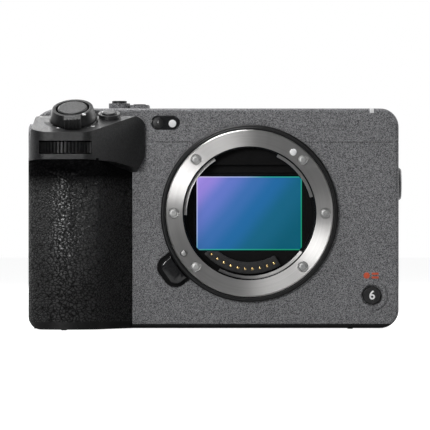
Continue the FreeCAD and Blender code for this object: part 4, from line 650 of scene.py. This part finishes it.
def sensor_finish():
    """The coating's colours as a painted reflection over the glass, which glows with them, and painted
    highlight lines along its edges.
    """
    low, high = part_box("sensor_glass")
    finish, tree, shader = new_finish("sensor_glass", 0.25, 0.0, Coat_Weight=0.15, Coat_Roughness=0.05,
                                      Specular_IOR_Level=0.2)
    place, parts = own_space(tree)
    across = add(tree, "ShaderNodeMapRange", From_Min=low[0], From_Max=high[0])
    tree.links.new(parts["X"], across.inputs["Value"])
    rise = add(tree, "ShaderNodeMapRange", From_Min=low[2], From_Max=high[2])
    tree.links.new(parts["Z"], rise.inputs["Value"])
    across, rise = across.outputs[0], rise.outputs[0]
    fall = math_node(tree, "SUBTRACT", 1.0, rise)
    slant = math_node(tree, "MULTIPLY_ADD", fall, 0.42, math_node(tree, "MULTIPLY", across, 0.72))
    wave = noise_at(tree, place, 45.0, 1.0)
    slant = math_node(tree, "ADD", slant, math_node(tree, "MULTIPLY_ADD", wave, 0.06, -0.03))
    field = ramp(tree, slant, [
        (0.0, (0.42, 0.30, 0.88)), (0.1, (0.33, 0.25, 0.77)), (0.26, (0.12, 0.18, 0.56)),
        (0.44, (0.04, 0.15, 0.42)), (0.58, (0.013, 0.135, 0.35)), (0.76, (0.005, 0.12, 0.22)),
        (1.0, (0.0, 0.10, 0.165))])
    # Painted highlight: colours and width in mm of the thin bright lines along the bevelled edges.
    line = ramp(tree, slant, [
        (0.0, (0.60, 0.52, 0.85)), (0.3, (0.36, 0.45, 0.78)), (0.5, (0.03, 0.36, 0.32)),
        (1.0, (0.012, 0.30, 0.17))])
    highlight_wide = 0.42
    edge_x = from_side(tree, across, high[0] - low[0])
    edge_z = from_side(tree, rise, high[2] - low[2])
    edge_highlight = math_node(tree, "LESS_THAN", math_node(tree, "MINIMUM", edge_x, edge_z), highlight_wide)
    coating_reflection = mix_colours(tree, edge_highlight, field, line)
    deep = add(tree, "ShaderNodeHueSaturation", Value=0.3)
    tree.links.new(coating_reflection, deep.inputs["Color"])
    tree.links.new(deep.outputs[0], shader.inputs["Base Color"])
    # Painted light: the glass glows with its colours though it is no lamp, so the throat's shade does not
    # darken it.
    tree.links.new(coating_reflection, shader.inputs["Emission Color"])
    shader.inputs["Emission Strength"].default_value = 0.85
    return finish


sensor_coating = sensor_finish()
print("sensor glass coated, stops:", [len(node.color_ramp.elements) for node in sensor_coating.node_tree.nodes
                                      if node.type == "VALTORGB"])

# %% [markdown]
# Every solid gets its finish by name. One table keeps the choice in one place, which is
# easier to read and to change than a line per part.

# %% Finishes on the solids
finish_groups = (
    (body_paint, "front_cover top_cover rear_cover card_door"),
    (black_paint, "base_plate battery_door monitor_arm"),
    (black_plastic, "battery_latch front_dial zoom_lever contact_block fan_rotor front_record_button"),
    (black_plastic, "top_record_button top_button_1 top_button_2 top_button_3 power_switch rear_dial"),
    (black_plastic, "control_wheel wheel_button menu_button function_button playback_button"),
    (black_plastic, "delete_button joystick battery monitor_housing"),
    (head_plastic, "grip_frame grip_head_cap shutter_button slope_button"),
    (leather_rubber, "grip_rubber grip_remote_window"),
    (soft_rubber, "thumb_rest port_door_lower port_door_upper"),
    (inner_black, "mount_frame shutter_frame shutter_blade_1 shutter_blade_2 shutter_blade_3"),
    (inner_black, "sensor_unit sensor_stage"),
    (dark_steel, "card_slots joystick_gimbal port_connectors thread_bushes accessory_shoe"),
    (plain_steel, "mount_screws lens_lock_pin"),
    (window_black, "lens_release_button front_sensor_window"),
    (ring_steel, "mount_ring"),
    (skirt_black, "mount_skirt"),
    (contact_gold, "contact_pins"),
    (sensor_coating, "sensor_glass"),
    (shaped_aluminium, "heat_sink"),
    (board_green, "main_board"),
    (screen_black, "monitor_glass"),
)
finish_of = {name: finish for finish, names in finish_groups for name in names.split()}
for name, node in nodes.items():
    node.data.materials.clear()
    node.data.materials.append(finish_of[name])
print("finished", len(finish_of), "solids, left out:", sorted(set(nodes) - set(finish_of)))

# %% [markdown]
# The solids hold every part of the camera that has a shape of its own. What is left is trim
# that is only a fraction of a millimetre high: recessed screw heads, domed pins, lenses,
# printed marks and threads. It could be cut into the solids, but it is quicker to model
# each once here, from a primitive, and to copy it to its places.

# %% Helpers for added pieces
facing_front = (math.pi / 2, 0, 0)
facing_back = (math.pi / 2, 0, math.pi)
facing_up = (0, 0, math.pi)


def done(name, body, finish, smooth=35):
    """Bake the active object's place into its mesh and give it a name, a finish and a body."""
    piece = bpy.context.object
    bpy.ops.object.select_all(action="DESELECT")
    piece.select_set(True)
    bpy.ops.object.transform_apply(location=True, rotation=True, scale=True)
    bpy.ops.object.shade_smooth_by_angle(angle=math.radians(smooth))
    piece.name = name
    piece.data.name = name
    piece.data.materials.clear()
    piece.data.materials.append(finish)
    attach(piece, body)
    return piece


def twin(piece, name, move, body):
    """A copy of a piece with its own mesh, moved by a matrix in the common frame."""
    bpy.context.view_layer.update()
    other = bpy.data.objects.new(name, piece.data.copy())
    bpy.context.scene.collection.objects.link(other)
    other.data.name = name
    other.data.transform(move)
    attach(other, body)
    return other


def disc(radius, high, place, turn=facing_front, sides=48):
    """A short cylinder. As a rule it faces the front."""
    bpy.ops.object.select_all(action="DESELECT")
    bpy.ops.mesh.primitive_cylinder_add(
        vertices=sides, radius=mm(radius), depth=mm(high), location=mm(*place), rotation=turn)
    return bpy.context.object


def dome(radius, high, place):
    """A flattened ball, of which the half in front shows."""
    bpy.ops.object.select_all(action="DESELECT")
    bpy.ops.mesh.primitive_uv_sphere_add(
        segments=32, ring_count=16, radius=mm(radius), location=mm(*place), rotation=facing_front)
    bpy.context.object.scale = (1, 1, high / radius)
    return bpy.context.object


def bar(size, place, turn=(0, 0, 0)):
    """A box of a size in millimetres."""
    bpy.ops.object.select_all(action="DESELECT")
    bpy.ops.mesh.primitive_cube_add(size=1, location=mm(*place), rotation=turn)
    bpy.context.object.scale = mm(*size)
    bpy.ops.object.transform_apply(location=False, rotation=False, scale=True)
    return bpy.context.object


def round_edges(width, parts=3, angle=30):
    """Round the edges of the active object."""
    edge = bpy.context.object.modifiers.new("edge", "BEVEL")
    edge.width = mm(width)
    edge.segments = parts
    edge.limit_method = "ANGLE"
    edge.angle_limit = math.radians(angle)
    bpy.ops.object.modifier_apply(modifier="edge")


def pick_nothing(kind):
    """Clear the selection of the active object's mesh, and choose what is picked next."""
    bpy.ops.object.mode_set(mode="EDIT")
    bpy.ops.mesh.select_mode(type=kind)
    bpy.ops.mesh.select_all(action="DESELECT")
    bpy.ops.object.mode_set(mode="OBJECT")


def outermost(face):
    """How far a face looks along +Z, then how high it lies, then how large it is."""
    return round(face.normal.z, 3), face.center.z, face.area


def pick_front_face(piece):
    """Go into edit mode with the one face selected that looks along the object's own +Z."""
    best = max(piece.data.polygons, key=outermost).index
    pick_nothing("FACE")
    piece.data.polygons[best].select = True
    bpy.ops.object.mode_set(mode="EDIT")


def step_in(by, down):
    """Inset the selected face and push it in (or pull it out, with a negative depth)."""
    bpy.ops.mesh.inset(thickness=mm(by))
    if down:
        bpy.ops.mesh.extrude_region_shrink_fatten(TRANSFORM_OT_shrink_fatten={"value": mm(-down)})


def cut(piece, cutter):
    """Take the cutter out of the piece."""
    bpy.context.view_layer.objects.active = piece
    tool = piece.modifiers.new("cut", "BOOLEAN")
    tool.operation = "DIFFERENCE"
    tool.object = cutter
    bpy.ops.object.modifier_apply(modifier="cut")
    bpy.data.objects.remove(cutter)


figure_share = 0.7
ink_thick = 0.02


def lettering(text, high, place, turn=facing_front, weight=0.0):
    """Printed figures, as a thin mesh. The height is that of a figure."""
    bpy.ops.object.select_all(action="DESELECT")
    bpy.ops.object.text_add(location=mm(*place), rotation=turn)
    words = bpy.context.object
    words.data.body = text
    words.data.align_x = "CENTER"
    words.data.align_y = "CENTER"
    words.data.size = mm(high / figure_share)
    words.data.offset = mm(weight)
    words.data.extrude = mm(ink_thick)
    bpy.ops.object.convert(target="MESH")
    return bpy.context.object


def round_axis(radius, angle, y=0):
    """A place on a circle round the lens axis, at an angle in degrees."""
    around = math.radians(angle)
    return radius * math.cos(around), y, axis_z + radius * math.sin(around)


print("piece helpers ready")

# %% [markdown]
# The screws of the mount are steel, with a raised rim, a groove inside it and a cross recess
# in the middle. A texture of a screw would stay flat from the side, so the head is cut from a
# cylinder by insets, and two crossed bars are taken out of its middle. It is made once on the
# Y axis, then turned round it and moved to six places, each with its slot at another angle.

# %% Screws of the mount
screw_circle = 26.6
screw_angles = (0, 45, 135, 180, 225, 315)
screw_radius = 1.66
rim_wide, rim_deep = 0.26, 0.16
groove_wide, middle_rise = 0.16, 0.13
slot_size = (1.35, 0.7, 0.34)
first_turn, turn_step = 20, 37
head_low, head_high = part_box("mount_screws")
head_y = (head_low[1] + head_high[1]) * 500
head = disc(screw_radius, (head_high[1] - head_low[1]) * 1000, (0, head_y, 0))
pick_front_face(head)
step_in(rim_wide, rim_deep)
step_in(groove_wide, -middle_rise)
bpy.ops.object.mode_set(mode="OBJECT")
round_edges(0.05, 2)
for turn in (0, math.pi / 2):
    slot = bar(slot_size, (0, head_low[1] * 1000, 0), (0, turn, 0))
    cut(head, slot)
bpy.context.view_layer.objects.active = head
head = done("mount_screw_pattern", "camera_body", plain_steel)
for index, angle in enumerate(screw_angles):
    place = mm(*round_axis(screw_circle, angle))
    spin = Matrix.Rotation(math.radians(first_turn + turn_step * index), 4, "Y")
    screw = twin(head, "mount_screw_" + str(index + 1), Matrix.Translation(place) @ spin, "camera_body")
    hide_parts("mount_screws")
bpy.data.objects.remove(head)
print("screws:", len(screw_angles), "faces each:", len(screw.data.polygons))

# %% [markdown]
# The contact pins are gold, with domed tips, because a lens's contacts slide over them. They
# lie on an arc below the sensor. A pin is a flattened ball, copied along the arc.

# %% Contact pins
pin_circle = 19.6
pin_count = 10
pin_first, pin_last = 227.2, 296.1
pin_radius, pin_high = 0.52, 0.34
pin_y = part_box("contact_block")[0][1] * 1000
pin = dome(pin_radius, pin_high, (0, pin_y, 0))
pin = done("contact_pin_pattern", "camera_body", contact_gold)
for index in range(pin_count):
    angle = pin_first + (pin_last - pin_first) * index / (pin_count - 1)
    place = mm(*round_axis(pin_circle, angle))
    tip = twin(pin, "contact_pin_" + str(index + 1), Matrix.Translation(place), "camera_body")
    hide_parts("contact_pins")
bpy.data.objects.remove(pin)
print("pins:", pin_count)

# %% [markdown]
# The white dot shows where the mark on a lens has to be when it is put on. It sits in a
# shallow seat in the ring, a little domed, like a drop of enamel.

# %% Index dot
index_angle = 54.5
index_circle = 26.4
index_radius, index_high = 1.22, 0.3
index_sink = 0.12
dome(index_radius, index_high, round_axis(index_circle, index_angle, flange_y + index_sink))
dot = done("mount_index_dot", "camera_body", white_mark)
print("index dot of", len(dot.data.polygons), "faces")

# %% [markdown]
# The window beside the grip holds a dark receiver lens and a white diffuser. Both are set
# into its black cover, so they are low domes whose rims lie in the cover's face.

# %% Window lens and diffuser
window_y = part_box("front_sensor_window")[0][1] * 1000
for name, radius, high, place, finish in (
        ("window_lens", 1.95, 0.28, (-32.2, window_y, 72.1), black_plastic),
        ("window_lens_core", 0.7, 0.34, (-32.0, window_y - 0.1, 72.2), window_black),
        ("window_diffuser", 1.33, 0.16, (-27.1, window_y, 71.95), white_mark)):
    dome(radius, high, place)
    done(name, "camera_body", finish)
print("window parts at y", round(window_y, 2))

# %% [markdown]
# The record button carries a plain printed figure, and the orange mark above it is a dot and
# two bars. Figures are set as text and turned into a mesh, so that no font is needed later.
# A small pale tab stands at the front edge of the roof.

# %% Printed marks on the front
button_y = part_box("front_record_button")[0][1] * 1000
ink_lift = 0.005
lettering("6", 3.0, (43.1, button_y - ink_lift, 11.5), weight=0.09)
done("record_button_figure", "front_record_button", white_mark)
mark_y = front_y - 0.01
mark_thick = 0.04
disc(1.1, mark_thick, (41.2, mark_y, 18.5))
done("record_mark_dot", "camera_body", orange_mark)
for side, z in (("upper", 19.15), ("lower", 17.85)):
    bar((2.4, mark_thick, 0.75), (44.2, mark_y, z))
    done("record_mark_" + side + "_bar", "camera_body", orange_mark)
tab_size = (1.5, 1.0, 1.7)
tab_sink = 0.4
bar(tab_size, (43.05, front_y + tab_sink, 76.5))
round_edges(0.12)
done("roof_edge_tab", "camera_body", white_mark)
print("front marks printed at y", mark_y)

# %% [markdown]
# The two finger dials are finely ribbed, so that a fingertip can turn them. Fifty ribs round
# a dial cost many faces in the solid, so the fine ones are made here: a cylinder with four
# columns of points to each rib, of which three are drawn in towards the dial's axis.

# %% Ribbed dials
columns_per_rib = 4


def ribbed_dial(node, ribs, depth):
    """A dial with fine upright ribs, in the place of the plain one."""
    low, high = [corner * 1000 for corner in map(Vector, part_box(node))]
    middle = (low + high) / 2
    radius = (high.x - low.x) / 2
    columns = ribs * columns_per_rib
    dial = disc(radius, high.z - low.z, middle, (0, 0, 0), columns)
    pick_nothing("VERT")
    for point in dial.data.vertices:
        column = round(math.atan2(point.co.y, point.co.x) / (2 * math.pi) * columns)
        point.select = column % columns_per_rib > 0
    bpy.ops.object.mode_set(mode="EDIT")
    share = 1 - depth / radius
    bpy.ops.transform.resize(value=(share, share, 1), center_override=mm(*middle))
    bpy.ops.object.mode_set(mode="OBJECT")
    dial = done(node + "_ribs", node, black_plastic, 25)
    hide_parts(node)
    print(node, "ribs:", ribs, "faces:", len(dial.data.polygons))


ribbed_dial("front_dial", 50, 0.8)
ribbed_dial("rear_dial", 40, 0.6)

# %% [markdown]
# The bushes for screws have threads inside. A true helix could be swept, but at this size
# rings one pitch apart look the same. Four of them are joined once and set into each bush.

# %% Threads in the bushes
thread_radius = 2.55
thread_pitch = 1.27
thread_sink = 0.05
crest_radius = 0.3
first_crest = 0.7
crest_count = 4
roof_z = 77.3
for turn in range(crest_count):
    bpy.ops.object.select_all(action="DESELECT")
    bpy.ops.mesh.primitive_torus_add(
        major_segments=32, minor_segments=6, major_radius=mm(thread_radius + thread_sink),
        minor_radius=mm(crest_radius), location=mm(0, 0, first_crest + turn * thread_pitch))
    if turn:
        rings.select_set(True)
        bpy.context.view_layer.objects.active = rings
        bpy.ops.object.join()
    rings = bpy.context.object
rings = done("thread_pattern", "camera_body", dark_steel, 60)
# The mouth of each bush, and the way into it
thread_places = {
    "tripod": ((0, 0, 0), (0, 0, 1)),
    "top_left": ((-24, 14, roof_z), (0, 0, -1)),
    "top_rear": ((24, 14, roof_z), (0, 0, -1)),
    "top_front": ((24, -6, roof_z), (0, 0, -1)),
    "right": ((53.8, -2, 50.8), (-1, 0, 0)),
    "left": ((-77.9, -4, 65.6), (1, 0, 0)),
}
for name, (mouth, inward) in thread_places.items():
    turn = Vector(inward).to_track_quat("Z", "Y").to_matrix().to_4x4()
    twin(rings, "thread_" + name, Matrix.Translation(mm(*mouth)) @ turn, "camera_body")
bpy.data.objects.remove(rings)
print("threads:", len(thread_places))

# %% [markdown]
# Small dark screws hold the base. Each is a low disc with a crossed slot, made like those of
# the mount but flatter and without a raised rim, and copied to its places.

# %% Screws of the base
base_head_radius, base_head_high = 1.5, 0.5
base_head_z = 0.13
base_slot = (1.5, 0.35, 0.5)
base_slot_z = -0.12
low_head = disc(base_head_radius, base_head_high, (0, 0, base_head_z), (math.pi, 0, 0), 32)
pick_front_face(low_head)
step_in(0.2, 0.0)
bpy.ops.object.mode_set(mode="OBJECT")
round_edges(0.06, 2)
for turn in (0, math.pi / 2):
    slot = bar(base_slot, (0, 0, base_slot_z), (0, 0, turn))
    cut(low_head, slot)
bpy.context.view_layer.objects.active = low_head
low_head = done("base_screw_pattern", "camera_body", dark_steel)
base_places = ((45.0, -8.0), (45.0, 24.0), (-24.0, -8.0), (-24.0, 24.0), (-62.0, 28.0))
for index, (x, y) in enumerate(base_places):
    twin(low_head, "base_screw_" + str(index + 1), Matrix.Translation(mm(x, y, 0)), "camera_body")
bpy.data.objects.remove(low_head)
print("base screws:", len(base_places))

# %% [markdown]
# Painted shade: the recess round the release button is darkened by a thin black plate on its
# floor. It is a flat bar laid along the button's radius, with its two outer corners rounded.

# %% Painted shade in the release button's recess
release_angle = math.radians(217.0)
plate_size = (11.0, 0.2, 12.0)
plate_reach = 32.6
plate_y = front_y + 0.72
plate_corner = 4.3
plate = bar(plate_size, (plate_reach, plate_y, 0))
pick_nothing("EDGE")
for edge in plate.data.edges:
    first, second = [plate.data.vertices[index].co for index in edge.vertices]
    runs_through = abs(first.y - second.y) > mm(plate_size[1] / 2)
    edge.select = first.x > 0 and runs_through
bpy.ops.object.mode_set(mode="EDIT")
bpy.ops.mesh.bevel(offset=mm(plate_corner), segments=10)
bpy.ops.object.mode_set(mode="OBJECT")
recess_shade = done("release_recess_shade", "camera_body", inner_black)
recess_shade.data.transform(Matrix.Translation(mm(0, 0, axis_z)) @ Matrix.Rotation(-release_angle, 4, "Y"))
print("surround of", len(recess_shade.data.polygons), "faces")

# %% [markdown]
# The other faces carry small generic marks: plain numbers on three buttons of the roof and two
# of the back, ON and OFF at the power switch, a white line on the zoom lever, ticks on the head
# beside it, and four lines on the control wheel. The marks on a lever, a button or the wheel
# ride on it, so that they move with it.

# %% Marks on the top and the back
ink_sink = 0.005
top_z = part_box("top_button_1")[1][2] * 1000
for index in range(3):
    name = "top_button_" + str(index + 1)
    low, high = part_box(name)
    middle = ((low[0] + high[0]) * 500, (low[1] + high[1]) * 500)
    lettering(str(index + 1), 1.7, (middle[0], middle[1], top_z - ink_sink), facing_up, 0.05)
    done(name + "_figure", name, white_mark)
for word, x, y in (("ON", -54.4, 12.4), ("OFF", -54.0, 7.6)):
    lettering(word, 1.3, (x, y, roof_z - ink_sink), facing_up, 0.03)
    done("power_" + word.lower() + "_mark", "camera_body", white_mark)
for name, figure in (("function_button", "4"), ("menu_button", "5")):
    low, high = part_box(name)
    place = ((low[0] + high[0]) * 500, high[1] * 1000 - ink_sink, (low[2] + high[2]) * 500)
    lettering(figure, 1.9, place, facing_back, 0.05)
    done(name + "_figure", name, white_mark)
for name, body, size, place, normal in (
        ("zoom_lever_mark", "zoom_lever", (1.2, 1.0, 0.06), (-57.75, -34.07, 74.9), (0.14, -0.66, 0.74)),
        ("zoom_tick_left", "camera_body", (1.3, 0.7, 0.06), (-66.5, -32.65, 70.2), (-0.06, -0.44, 0.9)),
        ("zoom_tick_right", "camera_body", (1.3, 0.7, 0.06), (-54.7, -32.69, 70.7), (0.0, -0.31, 0.95))):
    bar(size, place, Vector(normal).to_track_quat("Z", "Y").to_euler())
    done(name, body, white_mark)
wheel_low, wheel_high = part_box("control_wheel")
wheel_x = (wheel_low[0] + wheel_high[0]) * 500
wheel_z = (wheel_low[2] + wheel_high[2]) * 500
wheel_mark_size = (0.5, 0.04, 1.2)
wheel_mark_reach = 8.3
for angle in (0, 90, 180, 270):
    around = math.radians(angle)
    bar(wheel_mark_size, (0, wheel_high[1] * 1000 - ink_sink, wheel_mark_reach))
    mark = done("wheel_mark_" + str(angle), "control_wheel", white_mark)
    mark.data.transform(Matrix.Translation(mm(wheel_x, 0, wheel_z)) @ Matrix.Rotation(around, 4, "Y"))
print("marks done")
